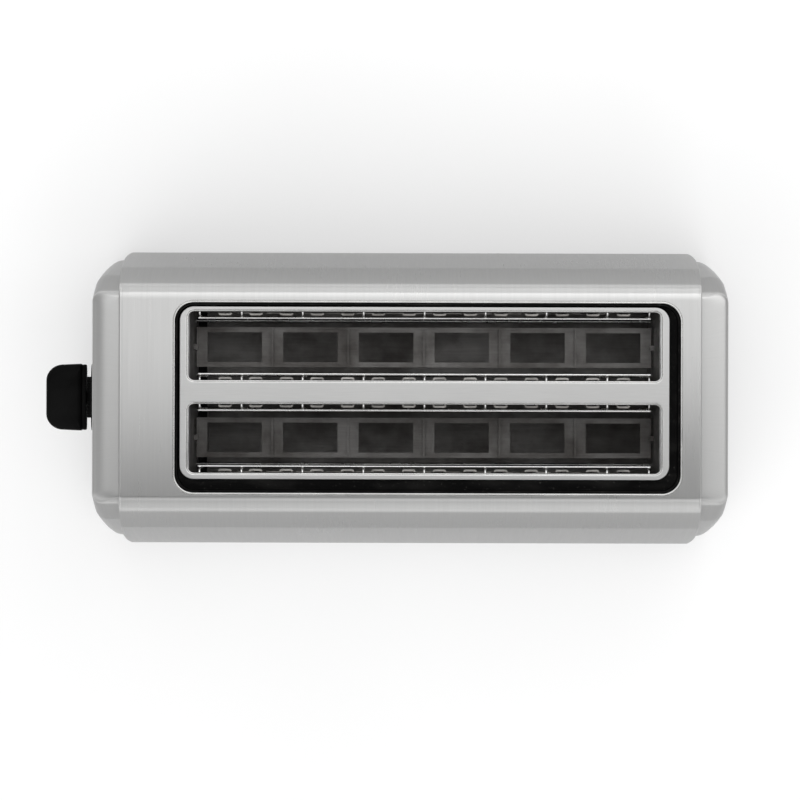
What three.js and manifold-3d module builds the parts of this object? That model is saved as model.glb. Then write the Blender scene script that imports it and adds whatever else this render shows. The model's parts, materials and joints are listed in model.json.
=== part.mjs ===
// A long-slot electric toaster: a brushed steel wrap and two lofted end caps over a sheet steel chassis,
// with mica heater boards, hinged wire bread guards, and a sprung lift carriage that an electromagnet
// holds down.
// Millimetres, +Z up. X runs along the slots, with the lever at the -X end, and +Y is the rear.
// Everything is drawn about the middle of the body, and the whole group is shifted so that the origin is
// the middle of the overall box, on the table.
import * as THREE from "three";
import { mergeVertices } from "three/addons/utils/BufferGeometryUtils.js";
import Module from "manifold-3d";

const wasm = await Module();
wasm.setup();

// Gaps, sheets and the fineness of round forms
const clearance = 0.3; // between pieces that fit each other
const overrun = 1; // how far a cutting solid runs past the faces that it cuts
const weld = 0.0001; // corners closer than this are one corner
const steelSheet = 0.8; // wrap, caps, slot plate and crumb tray
const chassisSheet = 1; // end plates and racks
const cornerSteps = 5; // in the quarter of a cap's corner
const arcSteps = 2; // in an eighth of a circle, on outlines
const roundSides = 14;
const smallSides = 8; // of screw holes and hinge holes
const wireSides = 6;
const uprightSides = 4;

// Slots, and the plate and black trim around them
const slotLength = 280;
const slotWidth = 41.9;
const slotCorner = 4.3;
const bridgeWidth = 12.7; // plate between the two slots
const plateEndBorder = 4.4;
const plateRearBorder = 2.3;
const plateFrontBorder = 3.1;
const plateCorner = 8.5;
const plateRecess = 2.8; // plate below the top of the wrap
const plateRimDepth = 5.2; // folded outer edge of the plate
const slotRimDepth = 4; // folded edge round each slot
const trimLeft = 2.6; // black trim seen between plate and wrap, on each side
const trimRight = 6.4;
const trimRear = 2.2;
const trimFront = 7.9;
const trimWall = 1.2;
const trimFloor = 2;
const trimLedge = 1.6; // trim floor under the plate's rim
const trimRecess = 1.6; // trim's outer wall below the top of the wrap
const openingCorner = 11;
const lipDepth = 6; // rolled edge of the wrap's opening

// Housing, along the slots
const leftDeck = 49; // from the left end to the opening
const rightDeck = 28.4;
const capLength = 16; // of each end cap, outside the wrap
const capTuck = 6; // of each end cap, under the wrap
const capStep = 4.8; // cap below the surface of the wrap
const capCornerX = 11; // rounding of the cap's upright corners, along and across
const capCornerY = 10;

// Housing, across the slots: flat top, round edge, straight shoulder, bowed lower wall
const topHeight = 190;
const topLand = 2; // flat top between the opening's lip and the round edge
const topEdgeRadius = 10;
const shoulderSpread = 19.5; // crease outside the flat top
const shoulderDrop = 47;
const wallSpread = 12; // foot of the wall outside the crease
const wallBow = 2.4;
const shellFootHeight = 20;
const hemStep = 0.5; // turned-in hem above the foot
const edgeSteps = 5;
const wallSteps = 4;

// Base and feet
const footHeight = 6;
const footRadius = 9;
const footTaper = 1.5;
const footStubRadius = 3;
const footFromEnd = 20;
const footFromSide = 18;
const baseFloor = 2.5;
const baseWall = 2.5;
const baseTuck = 6; // base wall inside the steel
const baseDraft = 0.5; // extra room there for the lean of the wall
const ventCount = 9;
const ventHalfWidth = 2.5;
const ventHalfLength = 42;
const ventPitch = 26;

// Crumb tray
const trayHalfWidth = 60;
const trayRimHeight = 4;
const trayHandleHalfWidth = 46;
const trayHandleDepth = 5.5;
const trayHandleHeight = 9.5;
const trayHandleCorner = 2;
const trayGripDepth = 2.5;

// Chassis end plates
const plateFaceInset = 1.2; // inner face of each end plate inside the slot's end
const chassisFootWidth = 12;
const chassisFootGap = 4; // between the crumb tray and each foot
const chassisArchHeight = 11;
const chassisTab = 10; // screwed tab on the base
const chassisSideRise = 90;
const chassisShoulderIn = 14;
const screwRadius = 1.5;
const screwHeadRadius = 3;
const screwHeadHeight = 2;
const screwRimShare = 0.8; // rounded rim of the head, of its radius

// Heater boards and ribbons
const boardOffset = 22.2; // from the middle of a slot
const boardSheet = 1;
const boardTopDrop = 25;
const boardRise = 5; // above the guard hinge
const boardTabHeight = 20;
const boardTabReach = 2;
const notchCount = 6; // in the upper and lower edges
const notchWidth = 3;
const notchDepth = 2.5;
const ribbonWidth = 2;
const ribbonSheet = 0.5;
const ribbonMargin = 8;
const ribbonRuns = 16;

// Bread guards
const guardOffset = 16.5; // from the middle of a slot
const guardWireRadius = 1;
const guardWirePitch = 36;
const guardSideWires = 3; // on each side of the middle one
const guardEndGap = 6; // from the last upright to the end plate
const guardTopDrop = 18;
const guardTipRise = 6;
const guardTipFlare = 3.2;
const uprightShare = 0.8; // uprights' wire, of the rails' radius

// Bread racks and lift travel
const leverTravel = 50;
const rackLowRise = 36.5; // rack above the base floor when it is down
const rackHalfWidth = 12;
const rackLip = 3;
const rackWindows = 6;
const rackWindowShare = 0.72; // of the pitch of the windows
const rackWindowHalfWidth = 9;
const rackCradleRise = 4.5;
const rackCradleSheet = 1.2;
const rackArmWidth = 3;
const rackArmHeight = 6;
const rackEndGap = 1.5;

// Lift carriage
const carriageGap = 7; // from the end plate to the carriage
const carriageSheet = 1.5;
const carriageDrop = 5; // carriage plate below the rack floor
const carriageRise = 15;
const carriageMargin = 4;
const shelfRise = 3; // carriage shelf above the rack floor
const shelfLength = 19;
const guideRodRadius = 3;
const guideRodSpread = 14; // from the middle of the slots
const guideRodFromPlate = 18;
const bushingWall = 2;
const bushingLength = 16;
const shelfMargin = 8; // shelf past the first rod
const rodBossWall = 2.5;
const rodBossHeight = 13;
const guideBracketShare = 0.7; // of the room from the lever arm up to the trim
const guideBracketFlange = 18;
const rodTopReach = 2;

// Return spring
const springRadius = 4;
const springWireRadius = 0.7;
const springTurns = 11;
const springSteps = 6; // in each turn
const springSides = 4;
const springFromRod = 12;

// Lever
const leverHeight = 140;
const leverArmWidth = 4.8;
const leverArmHeight = 6;
const leverArmStem = 5;
const leverSlotSide = 1;
const leverSlotEnd = 2;
const leverSlotCorner = 2;
const knobReach = 29.3; // from the end of the body to the front of the knob
const knobDepth = 21.4;
const knobHalfWidth = 19.9;
const knobFrontHalfWidth = 19;
const knobHeight = 18;
const knobCorner = 9.5;
const knobBackCorner = 3.5;
const knobBevel = 3;
const knobBevelSteps = 2;
const knobBackDepth = 2.4;
const knobBackInset = 1.2;
const knobPocketDepth = 8;

// Control panel on the left end
const panelSheet = 1.2;
const panelHalfWidth = 20;
const panelLow = 24;
const panelTopDrop = 18;
const panelCorner = 8;

// Push buttons
const buttonNames = ["cancel", "reheat", "defrost"];
const buttonHeight = 70; // of their middles above the table
const buttonPitch = 12.6;
const buttonHalfWidth = 4.9;
const buttonHalfHeight = 3.4;
const buttonCorner = 1.6;
const buttonProud = 2.5;
const buttonBevel = 0.7;
const buttonFlange = 1.2;
const buttonFlangeSheet = 1.2;
const buttonTravel = 1.5;
const switchHalf = 3;
const switchDepth = 4;

// Browning dial
const dialHeight = 44;
const dialGap = 0.6; // behind the skirt
const dialSkirtRadius = 16;
const dialSkirtDepth = 3;
const dialGripRadius = 13.4;
const dialGripDepth = 11;
const dialFluteDepth = 0.8;
const dialFlutes = 12;
const dialFluteSteps = 3;
const dialBevel = 1.2;
const dialPointerHalfWidth = 1.1;
const dialPointerRise = 0.8;
const dialShaftRadius = 3;
const dialShaftEngage = 8;
const potentiometerHalf = 8;
const potentiometerDepth = 7;

// Circuit board
const circuitGap = 10.9; // from the cap's inner face to the board
const circuitSheet = 1.6;
const circuitHalfWidth = 34;
const circuitRise = 8; // lower edge above the base floor
const circuitHeight = 64;
const circuitPostWidth = 8;
const circuitPostWall = 2;
const circuitPostHeight = 22;

// Electromagnet
const armatureHalf = 8;
const armatureSheet = 2;
const coreRadius = 3;
const coreHeadRadius = 5;
const coreHeadSheet = 2;
const coilRadius = 8;
const coilHeight = 15;
const benchSheet = 1.5;
const benchHalfX = 9;
const benchHalfY = 7;

// Mains inlet
const terminalLength = 20;
const terminalWidth = 14;
const terminalHeight = 16;
const terminalGap = 16; // from the end plate
const terminalIn = 50; // from the middle plane
const terminalWellRadius = 2.5;
const terminalWellDepth = 5;
const bushingBore = 3.6;
const bushingRadius = 5;
const bushingFlange = 1.2;
const bushingFlangeSheet = 2;
const bushingInside = 3;
const hingeReach = 2; // guard hinge past each end plate

// Worked out from the sizes above: widths and lengths
const plateLength = slotLength + 2 * plateEndBorder;
const plateWidth = 2 * slotWidth + bridgeWidth + plateRearBorder + plateFrontBorder;
const openingLength = plateLength + trimLeft + trimRight;
const openingWidth = plateWidth + trimRear + trimFront;
const halfLength = (leftDeck + openingLength + rightDeck) / 2;
const seamX = halfLength - capLength;
const openingX = (leftDeck - rightDeck) / 2;
const plateX = openingX + (trimLeft - trimRight) / 2;
const plateY = (trimFront - trimRear) / 2;
const slotsY = plateY + (plateFrontBorder - plateRearBorder) / 2;
const slotOffset = (slotWidth + bridgeWidth) / 2;
const slots = [
  { side: "front", y: slotsY - slotOffset },
  { side: "rear", y: slotsY + slotOffset },
];
const topFlatHalf = openingWidth / 2 + topLand;
const shoulderHalf = topFlatHalf + shoulderSpread;
const footHalf = shoulderHalf + wallSpread;

// Worked out: heights
const floorTop = footHeight + baseFloor;
const plateTop = topHeight - plateRecess;
const trimFloorTop = plateTop - plateRimDepth;
const baseWallTop = shellFootHeight + baseTuck;
const rackRest = floorTop + rackLowRise + leverTravel;
const hingeHeight = floorTop + rackLowRise + guardWireRadius;
const guardTop = topHeight - guardTopDrop;
const boardLow = hingeHeight + boardRise;
const boardTop = topHeight - boardTopDrop;
const boardMiddle = (boardLow + boardTop) / 2;
const shelfLow = rackRest + shelfRise;
const shelfTop = shelfLow + carriageSheet;
const leverTop = leverHeight + leverArmHeight / 2;
const guideBracketTop = leverTop + guideBracketShare * (trimFloorTop - trimFloor - leverTop);
const guideBracketLow = guideBracketTop - carriageSheet;

// Worked out: places along X
const leftPlateIn = plateX - slotLength / 2 + plateFaceInset;
const leftPlateOut = leftPlateIn - chassisSheet;
const rightPlateIn = plateX + slotLength / 2 - plateFaceInset;
const rightPlateOut = rightPlateIn + chassisSheet;
const carriageIn = leftPlateOut - carriageGap;
const carriageOut = carriageIn - carriageSheet;
const guideRodX = leftPlateOut - guideRodFromPlate;
const shelfOut = carriageOut - shelfLength;
const capInnerX = -halfLength + steelSheet;
const panelFaceX = -halfLength - panelSheet;
const circuitX = capInnerX + circuitGap;
const rodYs = [slotsY - guideRodSpread, slotsY + guideRodSpread];
const springY = rodYs[1] + springFromRod;
const shelfY = [rodYs[0] - shelfMargin, springY + springRadius + clearance];
const armatureLow = shelfLow - armatureSheet;
const coreTop = armatureLow - leverTravel - clearance;
const baseHalfLength = halfLength - steelSheet - clearance;
const baseHalfWidth = footHalf - capStep - steelSheet - clearance - baseDraft;
const trayReach = baseHalfLength + clearance + trayHandleDepth;
const leverReach = halfLength + knobReach;
const chassisFootIn = trayHalfWidth + chassisFootGap;
const chassisFootOut = chassisFootIn + chassisFootWidth;
const terminalX = leftPlateOut - terminalGap - terminalLength / 2;
const bushingHeight = floorTop + bushingRadius + clearance;

const finishes = {
  brushedSteel: { color: 0xb4b4b2, metalness: 1, roughness: 0.34 },
  satinSteel: { color: 0xc2c2c0, metalness: 1, roughness: 0.4 },
  plainSteel: { color: 0x8d8f90, metalness: 1, roughness: 0.5 },
  wire: { color: 0xa8a8a6, metalness: 1, roughness: 0.35 },
  blackPlastic: { color: 0x131313, metalness: 0, roughness: 0.45 },
  softBlack: { color: 0x1b1b1b, metalness: 0, roughness: 0.85 },
  mica: { color: 0x9b8d78, metalness: 0, roughness: 0.7 },
  ribbon: { color: 0x6f6a66, metalness: 1, roughness: 0.45 },
  copper: { color: 0x8a4b2a, metalness: 1, roughness: 0.4 },
  laminate: { color: 0x2f5c3a, metalness: 0, roughness: 0.6 },
  cream: { color: 0xd9d4c6, metalness: 0, roughness: 0.5 },
};

const toaster = new THREE.Group();
toaster.position.x = (leverReach - trayReach) / 2;

// Solids from three.js geometry

// The geometry with nothing but its corners.
function bareOf(geometry) {
  const bare = geometry.clone();
  bare.deleteAttribute("normal");
  bare.deleteAttribute("uv");
  return bare;
}

function solidOf(geometry) {
  const merged = mergeVertices(bareOf(geometry), weld);
  return new wasm.Manifold(
    new wasm.Mesh({
      numProp: 3,
      vertProperties: merged.getAttribute("position").array,
      triVerts: Uint32Array.from(merged.index.array),
    }),
  );
}

function geometryOf(body) {
  const made = body.getMesh();
  const geometry = new THREE.BufferGeometry();
  geometry.setAttribute("position", new THREE.BufferAttribute(made.vertProperties, 3));
  geometry.setIndex(new THREE.BufferAttribute(made.triVerts, 1));
  geometry.computeVertexNormals();
  return geometry;
}

// Adds a named piece to the toaster. Its place is given where the piece is drawn about its own middle.
function addPiece(name, body, finish, x = 0, y = 0, z = 0) {
  const mesh = new THREE.Mesh(geometryOf(body), new THREE.MeshStandardMaterial(finishes[finish]));
  mesh.name = name;
  mesh.position.set(x, y, z);
  toaster.add(mesh);
}

const join = (first, ...others) => others.reduce((sum, body) => sum.add(body), first);
const cut = (body, ...tools) => tools.reduce((rest, tool) => rest.subtract(tool), body);
const about = (middle, half) => [middle - half, middle + half];
const mirrored = ([low, high]) => [-high, -low];

function block([x0, x1], [y0, y1], [z0, z1]) {
  const geometry = new THREE.BoxGeometry(x1 - x0, y1 - y0, z1 - z0);
  return solidOf(geometry.translate((x0 + x1) / 2, (y0 + y1) / 2, (z0 + z1) / 2));
}

function rodZ(radius, x, y, z0, z1, sides = roundSides) {
  const geometry = new THREE.CylinderGeometry(radius, radius, z1 - z0, sides);
  return solidOf(geometry.rotateX(Math.PI / 2).translate(x, y, (z0 + z1) / 2));
}

function rodY(radius, x, z, y0, y1, sides = roundSides) {
  const geometry = new THREE.CylinderGeometry(radius, radius, y1 - y0, sides);
  return solidOf(geometry.translate(x, (y0 + y1) / 2, z));
}

function rodX(radius, y, z, x0, x1, sides = roundSides) {
  const geometry = new THREE.CylinderGeometry(radius, radius, x1 - x0, sides);
  return solidOf(geometry.rotateZ(Math.PI / 2).translate((x0 + x1) / 2, y, z));
}

// A round bar between two points.
function barBetween(radius, from, to, sides = uprightSides) {
  const start = new THREE.Vector3(...from);
  const way = new THREE.Vector3(...to).sub(start);
  const geometry = new THREE.CylinderGeometry(radius, radius, way.length(), sides);
  const upright = new THREE.Vector3(0, 1, 0);
  const turn = new THREE.Quaternion().setFromUnitVectors(upright, way.clone().normalize());
  geometry.applyQuaternion(turn);
  const middle = start.addScaledVector(way, 0.5);
  return solidOf(geometry.translate(middle.x, middle.y, middle.z));
}

function slab(shape, depth) {
  return new THREE.ExtrudeGeometry(shape, { depth, bevelEnabled: false, curveSegments: arcSteps });
}

// Extrusions of a shape: drawn in (Y, Z) and run along X, in (X, Z) along Y, or in (X, Y) along Z.
function alongX(shape, x0, x1) {
  const upright = slab(shape, x1 - x0).rotateX(Math.PI / 2);
  return solidOf(upright.rotateZ(Math.PI / 2).translate(x0, 0, 0));
}

function alongY(shape, y0, y1) {
  return solidOf(slab(shape, y1 - y0).rotateX(Math.PI / 2).translate(0, y1, 0));
}

function alongZ(shape, z0, z1) {
  return solidOf(slab(shape, z1 - z0).translate(0, 0, z0));
}

const polygon = (points) => new THREE.Shape(points.map(([a, b]) => new THREE.Vector2(a, b)));

// A rectangle about (x, y) with rounded corners.
function roundedRectangle(x, y, width, height, radius) {
  const right = x + width / 2 - radius;
  const left = x - width / 2 + radius;
  const top = y + height / 2 - radius;
  const bottom = y - height / 2 + radius;
  const shape = new THREE.Shape();
  shape.absarc(right, top, radius, 0, Math.PI / 2);
  shape.absarc(left, top, radius, Math.PI / 2, Math.PI);
  shape.absarc(left, bottom, radius, Math.PI, 1.5 * Math.PI);
  shape.absarc(right, bottom, radius, 1.5 * Math.PI, 2 * Math.PI);
  shape.closePath();
  return shape;
}

// An upright wall that follows a rounded rectangle, given by its outer size and its thickness.
function frameZ(x, y, width, height, radius, wall, z0, z1) {
  const inside = roundedRectangle(x, y, width - 2 * wall, height - 2 * wall, radius - wall);
  const outer = alongZ(roundedRectangle(x, y, width, height, radius), z0, z1);
  return cut(outer, alongZ(inside, z0 - overrun, z1 + overrun));
}

// Half of the housing's section, from the end of the flat top down to the foot, moved inwards by an inset.
// The shoulder is the tangent from the crease to the round edge, and the lower wall is a shallow arc.
function halfSection(inset) {
  const centreZ = topHeight - topEdgeRadius;
  const creaseZ = topHeight - shoulderDrop;
  const toCrease = Math.hypot(shoulderHalf - topFlatHalf, creaseZ - centreZ);
  const lean =
    Math.atan2(creaseZ - centreZ, shoulderHalf - topFlatHalf) + Math.acos(topEdgeRadius / toCrease);
  const points = [];
  for (let i = 0; i <= edgeSteps; i += 1) {
    const turn = Math.PI / 2 - ((Math.PI / 2 - lean) * i) / edgeSteps;
    const reach = topEdgeRadius - inset;
    points.push([topFlatHalf + reach * Math.cos(turn), centreZ + reach * Math.sin(turn)]);
  }
  const [tangentY, tangentZ] = points[edgeSteps];
  points.push([tangentY + (tangentZ - centreZ) * Math.tan(lean), centreZ]);
  const fall = creaseZ - shellFootHeight;
  const chord = Math.hypot(wallSpread, fall);
  const bowRadius = chord ** 2 / (8 * wallBow) + wallBow / 2;
  const half = Math.asin(chord / (2 * bowRadius));
  const chordLean = Math.atan2(wallSpread, fall);
  const bowY = shoulderHalf - bowRadius * Math.cos(chordLean + half);
  const bowZ = creaseZ - bowRadius * Math.sin(chordLean + half);
  for (let i = 0; i <= wallSteps; i += 1) {
    const turn = chordLean + half - (2 * half * i) / wallSteps;
    const reach = bowRadius - inset;
    const onFoot = i === wallSteps;
    points.push([bowY + reach * Math.cos(turn), onFoot ? shellFootHeight : bowZ + reach * Math.sin(turn)]);
  }
  return points;
}

// The section's whole strip, from one foot over the top to the other, between two insets.
function sectionStrip(outerInset, innerInset) {
  const otherHalf = (half) => half.map(([y, z]) => [-y, z]).reverse();
  const outer = [...otherHalf(halfSection(outerInset)), ...halfSection(outerInset)];
  const inner = [...otherHalf(halfSection(innerInset)), ...halfSection(innerInset)];
  return polygon([...outer, ...inner.reverse()]);
}

// Wrap: one bent sheet with a rim turned in at each end, a hem turned in at each foot, and a rolled lip round
// the opening.
function addWrap() {
  const rimX = seamX - steelSheet;
  const strip = alongX(sectionStrip(0, steelSheet), -rimX, rimX);
  const rim = sectionStrip(0, capStep - clearance);
  const rims = [alongX(rim, -seamX, -rimX), alongX(rim, rimX, seamX)];
  const hemX = about(0, seamX - capTuck - clearance);
  const hemY = [baseHalfWidth + clearance, footHalf - steelSheet / 2];
  const hemLow = shellFootHeight + hemStep;
  const hems = [hemY, mirrored(hemY)].map((y) => block(hemX, y, [hemLow, hemLow + steelSheet]));
  const lip = frameZ(
    openingX,
    0,
    openingLength + 2 * steelSheet,
    openingWidth + 2 * steelSheet,
    openingCorner + steelSheet,
    steelSheet,
    topHeight - lipDepth,
    topHeight - steelSheet / 2,
  );
  const opening = roundedRectangle(openingX, 0, openingLength, openingWidth, openingCorner);
  const hole = alongZ(opening, topHeight - lipDepth - overrun, topHeight + overrun);
  addPiece("wrap_shell", cut(join(strip, ...rims, ...hems, lip), hole), "brushedSteel");
}

// Triangles between two rows of corners that run side by side.
function stitch(triangles, rowA, rowB) {
  for (let i = 0; i + 1 < rowA.length; i += 1) {
    triangles.push(rowA[i], rowB[i], rowB[i + 1], rowA[i], rowB[i + 1], rowA[i + 1]);
  }
}

// One skin of an end cap, as rows of points from the foot up and then back over the top. Each row runs from
// the rear edge under the wrap, round both upright corners, to the front edge. The upper rows shrink as the
// round edge of the top draws the end and the sides in together.
function capRows(inset) {
  const back = seamX - capTuck;
  const centreZ = topHeight - topEdgeRadius;
  const edge = topEdgeRadius - capStep - inset;
  const rows = halfSection(capStep + inset)
    .reverse()
    .map(([halfWidth, z]) => {
      const rise = Math.min(Math.max(z - centreZ, 0), edge);
      const drawIn = inset + edge - Math.sqrt(edge ** 2 - rise ** 2);
      const end = halfLength - drawIn;
      const quarter = [];
      for (let i = 0; i <= cornerSteps; i += 1) {
        const turn = (Math.PI / 2) * (1 - i / cornerSteps);
        quarter.push([
          end - (capCornerX - drawIn) * (1 - Math.cos(turn)),
          halfWidth - (capCornerY - drawIn) * (1 - Math.sin(turn)),
          z,
        ]);
      }
      const across = quarter.map(([x, y, height]) => [x, -y, height]).reverse();
      return [[back, halfWidth, z], ...quarter, ...across, [back, -halfWidth, z]];
    });
  const top = rows[rows.length - 1];
  rows.push(top.map(([, y, z]) => [back, y, z]));
  return rows;
}

// An end cap as a closed shell: the outer skin, the inner skin, and the edge between them.
function capSolid(side) {
  const skins = [capRows(0), capRows(steelSheet)];
  const positions = [];
  const rowsOf = skins.map((rows) =>
    rows.map((row) =>
      row.map(([x, y, z]) => {
        positions.push(side * x, y, z);
        return positions.length / 3 - 1;
      }),
    ),
  );
  const triangles = [];
  const [outer, inner] = rowsOf;
  for (let i = 0; i + 1 < outer.length; i += 1) {
    stitch(triangles, outer[i + 1], outer[i]);
    stitch(triangles, inner[i], inner[i + 1]);
  }
  const rim = (rows) => {
    const last = rows.length - 1;
    const rising = rows.slice(0, last).map((row) => row[0]);
    const falling = rows.slice(0, last).map((row) => row[row.length - 1]);
    return [...rising, ...rows[last].slice(1, -1), ...falling.reverse(), ...rows[0].slice().reverse()];
  };
  stitch(triangles, rim(inner), rim(outer));
  if (side > 0) triangles.reverse();
  const geometry = new THREE.BufferGeometry();
  geometry.setAttribute("position", new THREE.Float32BufferAttribute(positions, 3));
  geometry.setIndex(triangles);
  return solidOf(withoutSlivers(geometry));
}

// Leaves out the triangles that a shrunk row folds to nothing.
function withoutSlivers(geometry) {
  const merged = mergeVertices(geometry, weld);
  const kept = [];
  for (let i = 0; i < merged.index.count; i += 3) {
    const [a, b, c] = merged.index.array.slice(i, i + 3);
    if (a !== b && b !== c && c !== a) kept.push(a, b, c);
  }
  return merged.setIndex(kept);
}

// The holes that the panel and the left cap share: lever slot, button holes and the dial's shaft hole.
function controlHoles(x0, x1) {
  const slotLow = leverHeight - leverArmHeight / 2 - leverTravel - leverSlotEnd;
  const slotTop = leverHeight + leverArmHeight / 2 + leverSlotEnd;
  const slotWide = leverArmWidth + 2 * leverSlotSide;
  const slotMiddle = (slotLow + slotTop) / 2;
  const lever = roundedRectangle(0, slotMiddle, slotWide, slotTop - slotLow, leverSlotCorner);
  const buttons = buttonNames.map((_, i) =>
    alongX(buttonOutline((i - 1) * buttonPitch, buttonHeight, clearance), x0, x1),
  );
  return [alongX(lever, x0, x1), rodX(dialShaftRadius + clearance, 0, dialHeight, x0, x1), ...buttons];
}

function buttonOutline(y, z, grow) {
  const width = 2 * (buttonHalfWidth + grow);
  return roundedRectangle(y, z, width, 2 * (buttonHalfHeight + grow), buttonCorner + grow);
}

function addCaps() {
  const holes = controlHoles(-halfLength - overrun, capInnerX + overrun);
  addPiece("left_end_cap", cut(capSolid(-1), ...holes), "brushedSteel");
  addPiece("right_end_cap", capSolid(1), "brushedSteel");
}

// Black trim: a channel between the wrap's lip and the plate, whose floor carries the plate's rim.
function addTrim() {
  const length = openingLength - 2 * clearance;
  const width = openingWidth - 2 * clearance;
  const corner = openingCorner - clearance;
  const low = trimFloorTop - trimFloor;
  const wall = frameZ(openingX, 0, length, width, corner, trimWall, low, topHeight - trimRecess);
  const floor = alongZ(roundedRectangle(openingX, 0, length, width, corner), low, trimFloorTop);
  const inside = roundedRectangle(
    plateX,
    plateY,
    plateLength - 2 * trimLedge,
    plateWidth - 2 * trimLedge,
    plateCorner - trimLedge,
  );
  const hole = alongZ(inside, low - overrun, trimFloorTop + overrun);
  addPiece("slot_trim", cut(join(floor, wall), hole), "blackPlastic");
}

// Slot plate: a flat sheet with its outer edge and the edge of each slot folded down.
function addSlotPlate() {
  const outline = roundedRectangle(plateX, plateY, plateLength, plateWidth, plateCorner);
  const sheet = alongZ(outline, plateTop - steelSheet, plateTop);
  const rimTop = plateTop - steelSheet / 2;
  const rim = frameZ(plateX, plateY, plateLength, plateWidth, plateCorner, steelSheet, trimFloorTop, rimTop);
  const folds = slots.map(({ y }) =>
    frameZ(
      plateX,
      y,
      slotLength + 2 * steelSheet,
      slotWidth + 2 * steelSheet,
      slotCorner + steelSheet,
      steelSheet,
      plateTop - slotRimDepth,
      rimTop,
    ),
  );
  const holes = slots.map(({ y }) =>
    alongZ(roundedRectangle(plateX, y, slotLength, slotWidth, slotCorner), trimFloorTop, topHeight),
  );
  addPiece("slot_plate", cut(join(sheet, rim, ...folds), ...holes), "satinSteel");
}

function addPanel() {
  const top = topHeight - panelTopDrop;
  const outline = roundedRectangle(0, (panelLow + top) / 2, 2 * panelHalfWidth, top - panelLow, panelCorner);
  const holes = controlHoles(panelFaceX - overrun, overrun - halfLength);
  addPiece("control_panel", cut(alongX(outline, panelFaceX, -halfLength), ...holes), "blackPlastic");
}

const footXs = [footFromEnd - baseHalfLength, baseHalfLength - footFromEnd];
const footYs = [footFromSide - baseHalfWidth, baseHalfWidth - footFromSide];
const screwXs = [leftPlateOut - chassisTab / 2, rightPlateOut + chassisTab / 2];
const screwYs = [-(chassisFootIn + chassisFootOut) / 2, (chassisFootIn + chassisFootOut) / 2];
const trayLow = floorTop + clearance;

// Base: a pan with bosses for the guide rods and grooved posts for the circuit board. The crumb tray slides
// out through its right wall, and its rear wall holds the cord bushing.
function addBase() {
  const corner = Math.max(capCornerX, capCornerY) - steelSheet;
  const length = 2 * baseHalfLength;
  const width = 2 * baseHalfWidth;
  const floor = alongZ(roundedRectangle(0, 0, length, width, corner), footHeight, floorTop);
  const wall = frameZ(0, 0, length, width, corner, baseWall, footHeight, baseWallTop);
  const boss = guideRodRadius + clearance + rodBossWall;
  const bossTop = floorTop + rodBossHeight;
  const bosses = rodYs.map((y) => rodZ(boss, guideRodX, y, floorTop - clearance, bossTop));
  const bores = rodYs.map((y) => rodZ(boss - rodBossWall, guideRodX, y, floorTop, bossTop + overrun));
  const postX = about(circuitX + circuitSheet / 2, circuitSheet / 2 + clearance + circuitPostWall);
  const postTop = floorTop + circuitPostHeight;
  const postY = [circuitHalfWidth - circuitPostWidth, circuitHalfWidth + circuitPostWall];
  const posts = [postY, mirrored(postY)].map((y) => block(postX, y, [footHeight, postTop]));
  const groove = block(
    [circuitX - clearance, circuitX + circuitSheet + clearance],
    [-circuitHalfWidth - clearance, circuitHalfWidth + clearance],
    [floorTop + circuitRise - clearance, postTop + overrun],
  );
  const trayDoor = block(
    [baseHalfLength - baseWall - overrun, baseHalfLength + overrun],
    [-trayHalfWidth - clearance, trayHalfWidth + clearance],
    [floorTop, trayLow + trayRimHeight + clearance],
  );
  const through = [footHeight - overrun, floorTop + overrun];
  const stubs = footXs.flatMap((x) => footYs.map((y) => rodZ(footStubRadius + clearance, x, y, ...through)));
  const screws = screwXs.flatMap((x) =>
    screwYs.map((y) => rodZ(screwRadius + clearance, x, y, ...through, smallSides)),
  );
  const vents = Array.from({ length: ventCount }, (_, i) => {
    const x = plateX + (i - (ventCount - 1) / 2) * ventPitch;
    return block(about(x, ventHalfWidth), about(0, ventHalfLength), through);
  });
  const inlet = rodY(
    bushingRadius + clearance,
    terminalX,
    bushingHeight,
    baseHalfWidth - baseWall - overrun,
    baseHalfWidth + overrun,
  );
  const body = join(floor, wall, ...bosses, ...posts);
  const tools = [...bores, groove, trayDoor, ...stubs, ...screws, ...vents, inlet];
  addPiece("base", cut(body, ...tools), "blackPlastic");
}

// A solid of revolution about Z from a list of [radius, height], starting and ending on the axis.
function turned(profile, sides = roundSides) {
  return solidOf(latheOf(profile, sides).rotateX(Math.PI / 2));
}

function latheOf(profile, sides) {
  const points = profile.map(([radius, height]) => new THREE.Vector2(radius, height));
  return withoutSlivers(bareOf(new THREE.LatheGeometry(points, sides)));
}

function addFeet() {
  const foot = turned([
    [0, 0],
    [footRadius - footTaper, 0],
    [footRadius, footTaper],
    [footRadius, footHeight],
    [footStubRadius, footHeight],
    [footStubRadius, floorTop - clearance],
    [0, floorTop - clearance],
  ]);
  const ends = ["left", "right"];
  footXs.forEach((x, i) =>
    slots.forEach(({ side }, j) => addPiece(`foot_${side}_${ends[i]}`, foot, "softBlack", x, footYs[j])),
  );
}

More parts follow.
